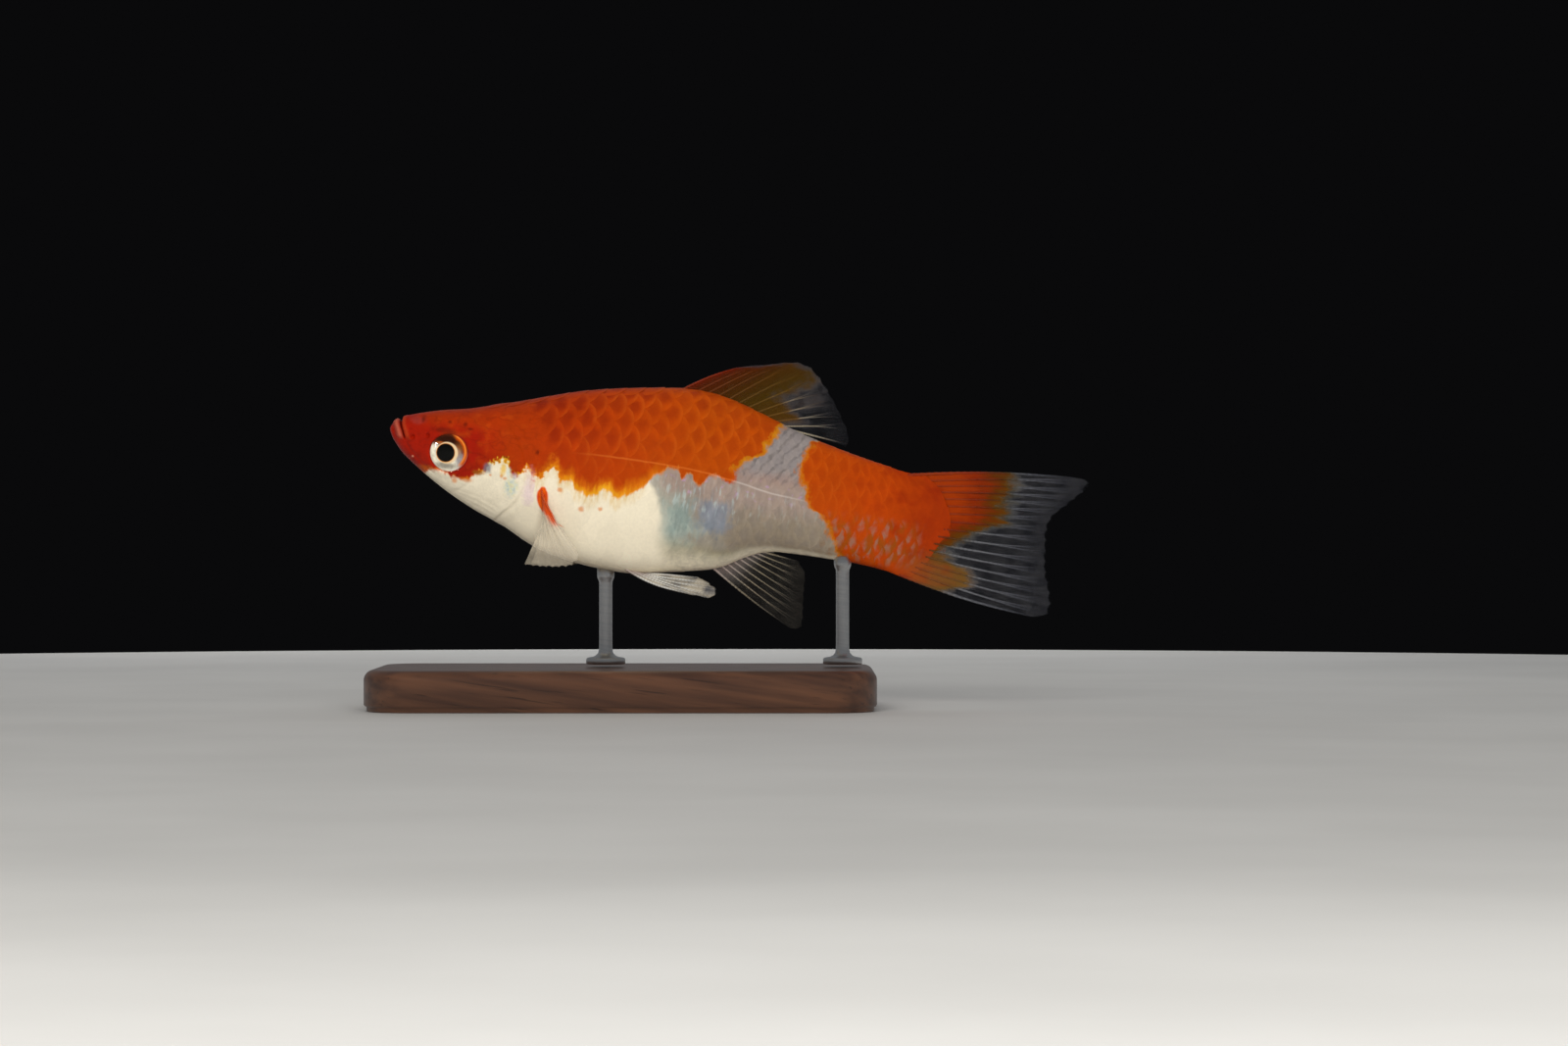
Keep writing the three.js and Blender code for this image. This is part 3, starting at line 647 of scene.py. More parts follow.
def membrane_piece(name, fin, side, material):
    """A fin's film, pleated between the rays and scalloped at the margin."""
    edges = np.concatenate([[0], ray_middles(fin), [1]])
    stretches = [lerp(a, b, np.linspace(0, 1, 9)) for a, b in zip(edges, edges[1:])]
    shares = np.unique(np.concatenate(stretches).round(6))
    v, u = grid(np.linspace(0, 1, 61), shares)
    between = np.sin(np.interp(u, edges, np.arange(len(edges))) * math.pi)
    height = v * (1 - MARGIN_SCALLOP * np.abs(between) ** 0.7)
    wave = fin_wave(u, v) + FIN_PLEAT * between * smoothstep(v, 0.15, 0.5)
    half = lerp(MEMBRANE_HALF, MEMBRANE_HALF * 0.5, v)
    middle = fin_point(fin, u, height)
    front, rear = (middle + fin.across * (wave + face * half)[..., None] for face in (-1, 1))
    vertices, faces = closed_sheets(front[None], rear[None])
    vertices = vertices * [1, side, 1]
    over_fin = np.tile(np.stack([u, height], -1).reshape(-1, 2), (2, 1))
    return mesh_piece(name, vertices, facing_out(vertices, faces.tolist()), material, [("fin", over_fin)])


def ray_paths(fin):
    """Centre lines of a fin's rays and of their branches, as (u, v, width) rows."""
    v = np.linspace(0.04, 1.0, 49)
    for number, middle in enumerate(ray_middles(fin)):
        plain = number in (0, fin.rays - 1)
        branches = 1 if plain else fin.branches
        for branch in range(branches):
            u, keep = middle, v > -1
            width = lerp(RAY_HALF_WIDTH, RAY_TIP_WIDTH, v**0.8) * fin.thick
            if plain:
                width = width * EDGE_RAY_THICKNESS
            if branches >= 2:
                turn = 1 if branch * 2 >= branches else -1
                u = u + turn * FIRST_SPREAD / fin.rays * smoothstep(v, FIRST_BRANCH, 1.05)
                width = width * lerp(1, 0.72, smoothstep(v, FIRST_BRANCH, FIRST_BRANCH + BRANCH_RUN))
            if branches == 4:
                turn = 1 if branch % 2 else -1
                u = u + turn * SECOND_SPREAD / fin.rays * smoothstep(v, SECOND_BRANCH, 1.02)
                width = width * lerp(1, 0.78, smoothstep(v, SECOND_BRANCH, SECOND_BRANCH + BRANCH_RUN))
            if branch:
                keep = v > (FIRST_BRANCH if branch * 2 == branches else SECOND_BRANCH) - BRANCH_OVERLAP
            yield (u + 0 * v)[keep], v[keep], width[keep]


def rays_piece(name, fin, side, material):
    """The fin rays as fine flattened rods that branch towards the margin."""
    turns = circle(RAY_SIDES)[None, :, None]
    vertices, faces, over_fin = [], [], []
    for u, v, width in ray_paths(fin):
        middle = fin_point(fin, u, v) + fin.across * fin_wave(u, v)[:, None]
        sideways = unit(np.cross(unit(np.gradient(middle, axis=0)), fin.across))[:, None]
        number = np.arange(len(v))
        width = width * (1 + RAY_BEAD * np.cos(number * math.pi)) * np.minimum(1, number[::-1] / 2 + 0.2)
        round_ray = np.cos(turns) * sideways + np.sin(turns) * fin.across * RAY_FLATNESS
        points, sides = closed_rings(middle[:, None] + round_ray * width[:, None, None])
        start = sum(len(rows) for rows in vertices)
        faces += [[start + corner for corner in face] for face in sides]
        vertices.append(points)
        over_fin.append(np.repeat(np.stack([u, v], -1), RAY_SIDES, axis=0))
    vertices, over_fin = np.concatenate(vertices) * [1, side, 1], np.concatenate(over_fin)
    return mesh_piece(name, vertices, facing_out(vertices, faces), material, [("fin", over_fin)])


# Eyes


def eye_disc(radii, heights):
    """Rings of the eye from its middle outwards, at the given heights over the head's side."""
    radius, angle = grid(radii, circle(EYE_SIDES))
    share = smoothstep(radius, PUPIL_RADIUS, EYE_RADIUS)
    x = lerp(PUPIL_X, EYE_X, share) + radius * np.cos(angle)
    z = lerp(PUPIL_Z, EYE_Z, share) + radius * np.sin(angle)
    return eye_surface(x, z, heights[:, None] + 0 * x)


def eye_body(name, side, material, front, rear):
    """A closed piece of the eye, from the (radii, heights) of its front and rear."""
    vertices, faces = closed_rings(np.concatenate([eye_disc(*front), eye_disc(*rear)]) * [1, side, 1])
    return mesh_piece(name, vertices, facing_out(vertices, faces), material)


def eye_piece(name, side, material):
    """The eyeball: a flat iris, a raised pupil edge and the bulge of the lens in it."""
    radii = np.concatenate([
        np.linspace(0.03, 0.86, 14), [0.9, 0.93, 0.96, 1.0], np.linspace(1.06, 1.9, 14),
        [1.98, 2.05, 2.1, LENS_RADIUS],
    ])
    lens = 0.08 - 0.22 * (radii / PUPIL_RADIUS) ** 2
    iris = -0.06 + 0.06 * bell(radii - 1.06, 0.09) + 0.03 * bell(radii - 1.75, 0.2)
    heights = np.where(radii < PUPIL_RADIUS, np.maximum(lens, -0.14), iris)
    heights -= 0.5 * smoothstep(radii, 2.03, 2.14)
    rear = np.array([2.1, 1.9, 1.4, 0.7, 0.03])
    rear_heights = -0.7 - 0.7 * (1 - (rear / LENS_RADIUS) ** 2)
    return eye_body(name, side, material, (radii, heights), (rear, rear_heights))


def cornea_piece(name, side, material):
    """The clear window over the iris."""
    radii = np.concatenate([np.linspace(0.03, 1.9, 26), [1.97, 2.03, 2.08]])
    ball = (LENS_RADIUS**2 + CORNEA_HEIGHT**2) / (2 * CORNEA_HEIGHT)
    dome = np.sqrt(ball**2 - radii**2) - ball + CORNEA_HEIGHT - 0.02
    rear = np.maximum(dome - 0.06, -0.06)
    return eye_body(name, side, material, (radii, dome), (radii[::-1], rear[::-1]))


# Stand


def world_mesh(name, rings, material, is_open=False):
    """A piece from rings in world millimetres, closed unless it is open at its last ring."""
    vertices, faces = closed_rings((rings * MM - SHIFT) @ TILT_MATRIX / MM)
    faces = [face[::-1] for face in faces[:-1]] if is_open else facing_out(vertices, faces)
    return mesh_piece(name, vertices, faces, material)


def turned(x, y, z, sides, profile):
    """Rings round an upright axis through x, y, from (radius, height over z) rows."""
    radii, heights = np.array(profile, float).T
    radius, turn = grid(radii, circle(sides))
    level = z + heights[:, None] + 0 * turn
    return np.stack([x + radius * np.cos(turn), y + radius * np.sin(turn), level], -1)


def base_piece(name, material):
    """A rounded wooden slab with a small step and a soft upper edge."""
    low, high = (np.array(corner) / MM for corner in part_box("stand_base"))
    middle, half = (low + high)[:2] / 2, (high - low)[:2] / 2
    height = high[2] - low[2]
    profile = [(2.5, 0), (0.5, 0), (0.35, 0.05), (0.3, 0.15), (0.3, 0.5), (0.12, 0.6), (0, 0.75)]
    profile.append((0, height - 1.2))
    for turn in np.linspace(0, math.pi / 2, 9):
        profile.append((BASE_EDGE * (1 - math.cos(turn)), height - BASE_EDGE * (1 - math.sin(turn))))
    profile += [(inset, height) for inset in (2.5, 5.0, 9.0, 12.5)]
    rings = []
    for inset, level in profile:
        radius = max(BASE_CORNER - inset, 0.3)
        outline = []
        for quarter, signs in enumerate([(1, 1), (-1, 1), (-1, -1), (1, -1)]):
            x, y = middle + np.array(signs) * (half - inset - radius)
            for turn in np.linspace(0, math.pi / 2, 13) + quarter * math.pi / 2:
                outline.append((x + radius * math.cos(turn), y + radius * math.sin(turn), low[2] + level))
        rings.append(outline)
    return world_mesh(name, np.array(rings), material)


def rod_piece(name, node, material):
    """A turned steel rod with a collar on the base, run a little into the fish."""
    low, high = (np.array(corner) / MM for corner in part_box(node))
    x, y = (low[:2] + high[:2]) / 2
    top = high[2] - low[2]
    end = top + ROD_REACH
    profile = [
        (0.02, 0), (2, 0), (2.1, 0.08), (2.1, 0.5), (2.02, 0.66), (1.8, 0.74), (1.35, 0.8), (1.05, 0.95),
        (0.82, 1.2), (0.72, 1.6), (0.7, 2.2), (0.7, top - 1.4), (0.72, top - 1.1), (0.88, top - 0.7),
        (0.92, top - 0.5), (0.92, end), (0.8, end + 0.05), (0.02, end + 0.05),
    ]
    return world_mesh(name, turned(x, y, low[2], ROD_SIDES, profile), material)


# Nodes


def arithmetic(operation, swapped=False):
    """A method of Value that works an operation out by a node."""
    def method(self, other=0.0):
        return self.g.math(operation, *((other, self) if swapped else (self, other)))
    return method


class Value:
    """A number or colour that nodes work out, for use in ordinary arithmetic."""

    def __init__(self, g, socket):
        self.g, self.socket = g, socket

    __add__ = __radd__ = arithmetic("ADD")
    __mul__ = __rmul__ = arithmetic("MULTIPLY")
    __sub__, __rsub__ = arithmetic("SUBTRACT"), arithmetic("SUBTRACT", swapped=True)
    __truediv__, __abs__ = arithmetic("DIVIDE"), arithmetic("ABSOLUTE")


class Nodes:
    """The nodes of a material or world. Plain numbers go straight into the sockets."""

    def __init__(self, owner):
        owner.use_nodes = True
        self.tree = owner.node_tree
        self.tree.nodes.clear()

    def add(self, kind, inputs, **settings):
        node = self.tree.nodes.new("ShaderNode" + kind)
        for key, value in settings.items():
            setattr(node, key, value)
        for key, value in inputs.items():
            if isinstance(value, Value):
                self.tree.links.new(value.socket, node.inputs[key])
            else:
                node.inputs[key].default_value = value
        return node

    def value(self, kind, inputs, output=0, **settings):
        return Value(self, self.add(kind, inputs, **settings).outputs[output])

    def math(self, operation, a, b=0.0):
        return self.value("Math", {0: a, 1: b}, operation=operation)


class Shading(Nodes):
    """The nodes of a material, which knows its places in the fish's own frame."""

    def __init__(self, name):
        self.material = bpy.data.materials.new(name)
        super().__init__(self.material)
        place = {"Vector": self.value("TexCoord", {}, "Object"), "Location": SHIFT,
                 "Rotation": (0, HEAD_UP_TILT, 0), "Scale": (MM, MM, MM)}
        self.place = self.value("Mapping", place, vector_type="TEXTURE")
        self.x, _, self.z = (Value(self, part) for part in self.add("SeparateXYZ", {0: self.place}).outputs)

    def noise(self, size, amount=1.0, detail=2.0, stretch=(1, 1, 1), shift=(0, 0, 0)):
        """Random change about zero; size is the width of its blots in mm."""
        place = self.value("Mapping", {"Vector": self.place, "Location": shift, "Scale": stretch})
        texture = self.value("TexNoise", {"Vector": place, "Scale": 1 / size, "Detail": detail})
        return (texture - 0.5) * (2 * amount)

    def map_value(self, name):
        """The two values of a UV map."""
        parts = self.add("SeparateXYZ", {0: self.value("UVMap", {}, uv_map=name)}).outputs
        return Value(self, parts[0]), Value(self, parts[1])

    def shade(self, colour, factor):
        """The colour made darker or lighter by a factor."""
        vector = colour if isinstance(colour, Value) else paint(colour)[:3]
        return self.value("VectorMath", {0: vector, "Scale": factor}, operation="SCALE")

    def bump(self, height, distance_mm, strength):
        return self.value("Bump", {"Height": height, "Distance": distance_mm * MM, "Strength": strength})

    def finish(self, colour, normal, **values):
        """A Principled surface as the material's output."""
        inputs = {"Base Color": colour, "Normal": normal}
        inputs.update({key.replace("_", " "): value for key, value in values.items()})
        self.add("OutputMaterial", {"Surface": self.value("BsdfPrincipled", inputs)})
        return self.material


def most(a, b):
    return a.g.math("MAXIMUM", a, b)


def least(a, b):
    return a.g.math("MINIMUM", a, b)


def sine(value):
    return value.g.math("SINE", value)


def distance(a, b):
    return a.g.math("SQRT", a * a + b * b)


def step(value, low, high):
    """0 before low and 1 after high, with a soft change between; the other way round if low is higher."""
    inputs = {"Value": value, "From Min": low, "From Max": high}
    return value.g.value("MapRange", inputs, interpolation_type="SMOOTHSTEP")


def band(value, start, end, soft):
    return step(value, start - soft, start + soft) * step(value, end + soft, end - soft)


def along_line(value, width):
    """1 where value is 0, falling to 0 at the width."""
    return step(abs(value), width, 0.0)


def curve(value, points):
    """A smooth function of value through the points."""
    keys, results = zip(*sorted(points))
    low, least_result = keys[0], min(results)
    width, height = keys[-1] - low, max(results) - least_result
    node = value.g.add("FloatCurve", {"Value": (value - low) / width})
    line = node.mapping.curves[0]
    while len(line.points) < len(keys):
        line.points.new(0.5, 0.5)
    for point, key, result in zip(line.points, keys, results):
        point.location = ((key - low) / width, (result - least_result) / height)
    node.mapping.update()
    return Value(value.g, node.outputs[0]) * height + least_result


def paint(colour):
    """A colour as seen on screen, 0 to 255, as the linear colour of a node."""
    if isinstance(colour, Value):
        return colour
    parts = [part / 255 for part in colour]
    return tuple(p / 12.92 if p <= 0.04045 else ((p + 0.055) / 1.055) ** 2.4 for p in parts) + (1,)


def ramp(value, low, high, stops):
    """Colours along value between low and high, as (value, colour) stops."""
    node = value.g.add("ValToRGB", {"Fac": (value - low) / (high - low)})
    elements = node.color_ramp.elements
    while len(elements) < len(stops):
        elements.new(0.5)
    for element, (at, _) in zip(elements, stops):
        element.position = (at - low) / (high - low)
    for element, (_, colour) in zip(elements, stops):
        element.color = paint(colour)
    return Value(value.g, node.outputs["Color"])


def mix(share, a, b):
    return share.g.value("Mix", {0: share, 6: paint(a), 7: paint(b)}, 2, data_type="RGBA")


def over(colour, *layers):
    """The colour with each layer's tint laid over it by its share, as (share, tint)."""
    for share, tint in layers:
        colour = mix(share, colour, tint)
    return colour


def spots(g, colour, soft, wobble, rows):
    """The colour with soft ovals of the side view over it, as (x, z, width, height, strength, tint)."""
    for x, z, width, height, strength, tint in rows:
        away = distance((g.x - x) / width, (g.z - z) / height) + wobble
        colour = mix(step(away, 1 + soft, 1 - soft) * strength, colour, tint)
    return colour


# Markings, by natural place in the side view

ORANGE_EDGE = [
    (0, -6), (3.4, -5.2), (3.9, -4.4), (4.6, -4.1), (5.3, -3.75), (6, -3.85), (6.9, -4), (8.3, -4.35),
    (9.2, -4.3), (9.6, -3.9), (10, -3.6), (10.9, -3.35), (11.2, -2.6), (11.8, -2.1), (12.5, -1.9),
    (13.2, -1.85), (13.5, -2.7), (14, -3.3), (14.6, -3.1), (15.1, -2.7), (15.6, -2.3), (16.1, -3.15),
    (16.8, -3.15), (17.3, -2.6), (17.7, -2), (18.4, -1.9), (18.9, -2.85), (19.5, -3.2), (20, -2.75),
    (20.7, -3.8), (21.8, -4.1), (22.6, -4.25), (23.2, -3.75), (24.1, -3.35), (24.7, -3.8), (25.4, -4.1),
    (26, -3.5), (27, -3.2), (27.9, -2.5), (28.4, -1.85), (28.8, -1.1), (29.9, -0.6), (30.4, -0.1),
    (31.3, -0.1), (31.8, -1.05), (32.5, -0.5), (33.7, -1.5), (34.4, -0.7), (35.3, -0.3), (36.4, -0.7),
    (44, -0.3),
]
ORANGE_END = [(-14, 37.2), (-0.4, 37.3), (1.93, 38.64), (3.03, 40.4), (4.58, 40.92), (5.87, 41.8), (9, 42.6)]
STALK_START = [
    (-14, 50.2), (-7.67, 49.53), (-4.7, 48.06), (-2.76, 46.72), (-1.91, 45.23), (-0.38, 44.8),
    (2.14, 43.91), (3.26, 44.29), (4.68, 44.62), (5.24, 45.6), (9, 46),
]
FLANK_START = [(-12, 31.4), (-9.7, 30.9), (-7.6, 30.45), (-4.7, 29.9), (-2.8, 29.2), (-1.4, 28.1), (0, 27.8)]
VENTRAL_EDGE = [
    (28, -11.8), (31, -11.2), (34.3, -10.6), (37, -9.9), (40.4, -8.0), (43, -7.4), (51, -7.4), (60, -7.4),
]
UNDERSIDE_HEIGHT = [(30, 3.0), (34, 2.3), (38, 1.3), (42, 0.8), (46, 0.6), (60, 0.6)]
TAIL_PIGMENT_END = [
    (-10, 60), (-8.7, 61.6), (-7.9, 63.8), (-6.9, 63.7), (-6.1, 62.1), (-5.4, 60.5), (-4.8, 60.7),
    (-3.8, 61.8), (-2.7, 63.1), (-1.8, 64.8), (-1.2, 66.2), (0, 66.9), (1.4, 66.4), (2.9, 67.1),
    (4.4, 66.6), (5, 66.3),
]
PECTORAL_MARK = [
    (-7.8, 19.9), (-7.5, 19.2), (-7.05, 18.5), (-6.4, 18.0), (-5.7, 17.6), (-5.0, 17.45), (-4.1, 17.4),
]
PECTORAL_MARK_WIDTH = [
    (-7.8, 0.08), (-7.4, 0.25), (-6.4, 0.46), (-5.6, 0.56), (-4.9, 0.6), (-4.2, 0.36), (-3.8, 0.1),
]
# Loose blobs of orange, as (x, z, width, height)
BLOBS = [
    (7.8, -4.55, 0.3, 0.26), (9.1, -4.3, 0.6, 0.25), (12.8, -3.4, 0.16, 0.2), (13.2, -3.6, 0.22, 0.14),
    (11.6, -3.45, 0.14, 0.1), (21.7, -5.7, 0.28, 0.26), (23.7, -5.4, 0.22, 0.2), (19.2, -4.0, 0.3, 0.22),
]
FRECKLES = [
    (3.6, 1.5, 0.2, 0.35), (6.5, 1.55, 0.2, 0.14), (8.2, 1.5, 0.2, 0.26), (8.8, 1.1, 0.28, 0.12),
    (13, -1.35, 0.35, 0.1), (16.3, -0.4, 0.22, 0.22),
]

DEEP_RED, CROWN, SHOULDER, BRICK = (160, 24, 2), (168, 50, 0), (172, 52, 0), (158, 48, 0)
TRUNK_ORANGE, BRIGHT_ORANGE, STALK_ORANGE = (180, 62, 0), (182, 72, 0), (180, 68, 0)
FRINGE, DARK_CENTRE, OLIVE, CLOUD_RED = (222, 122, 10), (130, 26, 0), (122, 88, 40), (142, 34, 0)
# The low cream is the underside's own paler colour, brightened further as painted light where the belly lies
# in shade
CREAM, LOW_CREAM = (242, 230, 203), (255, 243, 215)
TEAL, DEEP_TEAL, SLATE = (164, 178, 168), (128, 146, 140), (129, 139, 154)
GREY_FLANK, LILAC = (146, 132, 113), (161, 141, 128)
SADDLE, SADDLE_PINK = (146, 136, 132), (158, 132, 120)
# Soft clouds on the flank, as (x, z, width, height, strength, tint)
FLANK_CLOUDS = [
    (31.9, -8.6, 1.7, 2.2, 0.75, (186, 186, 168)), (35.4, -7.0, 1.9, 1.3, 0.5, (164, 160, 146)),
    (31.9, -5.9, 1.8, 3.0, 0.8, TEAL), (32.3, -4.8, 0.9, 1.4, 0.6, DEEP_TEAL),
    (31.5, -6.8, 0.5, 0.9, 0.5, DEEP_TEAL), (34.4, -5.8, 1.0, 1.0, 0.4, TEAL),
    (35.6, -4.5, 1.7, 1.6, 0.75, SLATE),
]
# Smudges on the head, in the same form, with a painted glint on the jaw and a band of painted shade under the
# brow
HEAD_SMUDGES = [
    (11.2, -2.75, 0.42, 0.5, 0.8, (112, 108, 122)), (10.2, -3.4, 0.5, 0.25, 0.7, (150, 92, 20)),
    (14.2, -3.2, 0.4, 0.3, 0.6, (170, 140, 176)), (12.9, -2.7, 0.3, 0.6, 0.75, (226, 180, 40)),
    (13.5, -2.9, 0.25, 0.5, 0.7, (206, 214, 200)), (16.0, -4.4, 0.7, 1.7, 0.6, (224, 196, 204)),
    # The small pale spot at 2.95, -2.6 on the next line is a painted glint
    (4.4, -3.6, 0.8, 0.25, 0.6, (190, 90, 14)), (2.95, -2.6, 0.13, 0.1, 0.9, (232, 150, 120)),
    # The dark band at 6.1, 0.55 on the next line is painted shade under the brow
    (3.0, 1.3, 0.8, 0.4, 0.35, (150, 66, 60)), (6.1, 0.55, 1.3, 0.3, 0.6, (96, 22, 4)),
]


def tail_mottle(g):
    """Darker clouds in the orange, running on from the stalk into the tail fin."""
    return step(g.noise(1.7, 1, 4, stretch=(0.7, 1, 1), shift=(5, 7, 3)), -0.15, 0.4) * 0.6


def olive_lobe(g, colour):
    """The orange turns olive at the root of the lower lobe of the tail."""
    low = step(g.z + g.noise(0.7, 0.8, 3), -4.2, -7.0) * step(g.x, 54.5, 60.5)
    return mix(low * 0.6, colour, OLIVE)


def orange_borders(g, streaks):
    """How far a place lies above the orange's lower edge, before its end and behind its start."""
    ragged = g.noise(1.1, 0.25, 3) + streaks * 0.45 + g.noise(0.3, 0.2, shift=(8, 1, 5))
    specks = g.noise(0.42, 0.9, shift=(6, 2, 9)) * band(g.x, 10.5, 19.5, 1.5)
    teeth = ragged * 1.2 + g.noise(0.9, 0.8, 4, shift=(4, 7, 2))
    above = g.z - curve(g.x, ORANGE_EDGE) + ragged + specks
    return above, curve(g.z, ORANGE_END) - g.x + teeth, g.x - curve(g.z, STALK_START) + teeth


def orange_tint(g, streaks, above, before, behind):
    """Deep red on the head to orange on the stalk, with a yellow fringe along the lower edge."""
    head = step(g.x, 19, 13)
    tint = over(
        ramp(g.x + g.noise(2, 1.2), 0, 64, [
            (3, DEEP_RED), (9.5, DEEP_RED), (13, CROWN), (19, SHOULDER), (26, TRUNK_ORANGE),
            (34, BRIGHT_ORANGE), (46, STALK_ORANGE), (54, TRUNK_ORANGE), (58.5, BRICK),
        ]),
        (step(g.z, 0.2, 2.2) * band(g.x, 3, 15, 2) * 0.75, CROWN),
        (step(g.noise(1.3, 1, 4, shift=(3, 8, 2)), 0.0, 0.45) * head * step(g.x, 3, 8) * 0.5, (190, 70, 6)),
        (along_line(g.noise(1.5, stretch=(0.6, 1, 1), shift=(9, 2, 6)), 0.07) * head * 0.25, (96, 14, 0)),
        (tail_mottle(g) * step(g.x, 48, 56), CLOUD_RED),
    )
    tint = olive_lobe(g, tint)
    tint = mix(step(g.noise(2.2, 1, 3, shift=(7, 3, 1)), -0.1, 0.7) * 0.35, tint, g.shade(tint, 1.35))
    tint = mix(step(g.noise(1.6, 1, 3, shift=(1, 6, 4)), 0.0, 0.7) * 0.4, tint, g.shade(tint, 0.62))
    fringe = ramp(g.x, 0, 64, [
        (9.8, (206, 92, 10)), (11.3, (222, 168, 30)), (14.2, (222, 168, 30)), (15.5, FRINGE),
        (19, (226, 140, 10)), (24, (240, 170, 30)), (28, (224, 128, 20)), (31, (200, 110, 30)),
    ])
    wide = curve(g.x, [(4, 0.45), (10, 0.35), (13, 0.55), (20, 0.75), (24, 0.95), (28, 0.5), (36, 0.2)])
    edge = most(band(before, -0.4, 0.7, 0.3) * step(g.z, 0, 1.5), band(behind, -0.4, 0.5, 0.3) * 0.6)
    return over(
        tint,
        (step(above, 1.9, 0.2) * band(g.x, 17, 29, 1.5) * 0.85, FRINGE),
        (step((above + streaks * 0.3) / wide, 1.2, 0.1) * step(g.x, 37, 35), fringe),
        (edge * 0.8, (206, 134, 16)),
    )


def flank_tint(g, streaks, uneven, behind_belly):
    """Teal, slate and lilac clouds behind the white of the belly, paler towards the underside, partly as
    painted light.
    """
    over_belly = g.z - curve(g.x, VENTRAL_EDGE) + uneven * 0.35
    underside = over_belly / curve(g.x, UNDERSIDE_HEIGHT)
    tint = mix(step(g.z + streaks, -4.6, -1.8), GREY_FLANK, LILAC)
    tint = mix(step(behind_belly, 2.6, 0.5) * step(over_belly, 0.8, 2.4) * 0.6, tint, (186, 184, 168))
    tint = spots(g, tint, 0.6, g.noise(1.5, 0.8, 4) + streaks * 0.7, FLANK_CLOUDS)
    pale_streaks = step(g.noise(0.36, stretch=(1, 1, 0.25), shift=(3, 3, 9)), 0.05, 0.4)
    tint = over(
        tint,
        (step(g.noise(0.7, shift=(2, 9, 4)), 0.15, 0.5) * band(g.z, -2.4, 0.2, 0.4) * 0.6, (190, 150, 190)),
        (pale_streaks * band(g.z, -4.4, -1.2, 0.8) * (step(g.x, 42, 35) * 0.35 + 0.2), (186, 200, 196)),
        (step(underside, 1.7, 0.6) * step(g.x, 42, 36), (170, 162, 134)),
        # The pale underside: partly its own colour, partly painted light in the shade under the belly
        (step(underside, 1.2, 0.0), LOW_CREAM),
    )
    return g.shade(tint, streaks * (step(g.x, 42, 34) * 0.16 + 0.14) + g.noise(0.5, 0.1) + 1.0)


def saddle_tint(g):
    """The grey saddle before the stalk, with slanting darker bars."""
    bars = sine((g.x + g.z * -0.75 + g.noise(1, 0.7)) * 5.2)
    bars = step(bars, 0.2, 0.95) * (g.noise(0.7, 1.2) + 0.75)
    tint = mix(step(g.z + g.noise(1.4, 1.2), 1.6, -0.4), SADDLE, SADDLE_PINK)
    return g.shade(tint, 1.0 - bars * 0.3 + g.noise(0.4, 0.16))


def markings(g):
    """The colour by place, the same on the skin and on the scales over it, and where it is orange."""
    streaks = g.noise(0.42, stretch=(1, 1, 0.3))
    above, before, behind = orange_borders(g, streaks)
    orange = most(step(above, -0.25, 0.25) * step(before, -0.35, 0.35), step(behind, -0.35, 0.35))
    # Paler towards the underside: partly the belly's own colour, partly painted light in the shade under it
    pale = mix(step(g.z, -7.0, -10.5), CREAM, LOW_CREAM)
    stain = step(above, -1.6, -0.3) * band(g.x, 15.5, 28, 1) * (streaks * 0.7 + 0.35)
    uneven = g.noise(1.6, 0.3) + streaks * 0.25
    behind_belly = g.x - curve(g.z, FLANK_START) + uneven
    flank = mix(step(g.z, -3.5, -8), step(behind_belly, -0.35, 0.5), step(behind_belly, -1.0, 1.3))
    colour = over(
        pale,
        (stain, (216, 176, 90)),
        (flank, flank_tint(g, streaks, uneven, behind_belly)),
        (step(g.z, -1.0, 0.6) * step(g.x, 36, 37.5), saddle_tint(g)),
        (orange, orange_tint(g, streaks, above, before, behind)),
    )
    return spots(g, colour, 0.6, g.noise(0.3, 0.4), [(*blob, 0.65, FRINGE) for blob in BLOBS]), orange


def head_details(g, colour):
    """Smudges and freckles on the bare skin of the head, with a painted sheen on the cheek, painted shade
    along the mouth and under the brow, and a painted glint on the jaw.
    """
    wobble = g.noise(0.7, 0.5, shift=(1, 5, 2)) + g.noise(0.25, 0.3)
    from_mouth = g.x - curve(g.z, [(z, x) for x, z in MOUTH_LINE])
    mouth_part = step(g.z, -1.1, -0.5)
    # A painted sheen: pearly colours of light reflected from the cheek, laid into the colour
    sheen = ramp(g.noise(0.5, shift=(2, 2, 7)), -0.6, 0.6, [
        (-0.5, (140, 170, 172)), (-0.1, (196, 208, 196)), (0.2, (220, 218, 160)), (0.5, (210, 180, 204)),
    ])
    colour = over(
        spots(g, colour, 0.6, wobble, HEAD_SMUDGES),
        (along_line(from_mouth + 0.45, 0.5) * mouth_part * 0.6, (188, 104, 80)),
        (along_line(from_mouth - 0.4, 0.4) * mouth_part * 0.4, (186, 74, 30)),
        # A dark line along the mouth's cleft: painted shade in the crease
        (along_line(from_mouth, 0.16) * mouth_part * 0.8, (60, 8, 4)),
    )
    colour = spots(g, colour, 0.6, wobble, [(13.9, -4.4, 0.7, 1.0, 0.75, sheen)])
    return spots(g, colour, 0.8, g.noise(0.3, 0.4), [(*freckle, 0.6, (80, 10, 0)) for freckle in FRECKLES])


def shoulder_mark(g, colour):
    """The orange mark at the root of the pectoral fin."""
    from_middle = abs(g.x - curve(g.z, PECTORAL_MARK)) - curve(g.z, PECTORAL_MARK_WIDTH)
    mark = step(from_middle, 0.12, -0.12) * band(g.z, -7.9, -3.9, 0.15)
    return mix(mark, colour, mix(step(g.noise(0.6), -0.2, 0.4), (232, 96, 10), (214, 70, 20)))


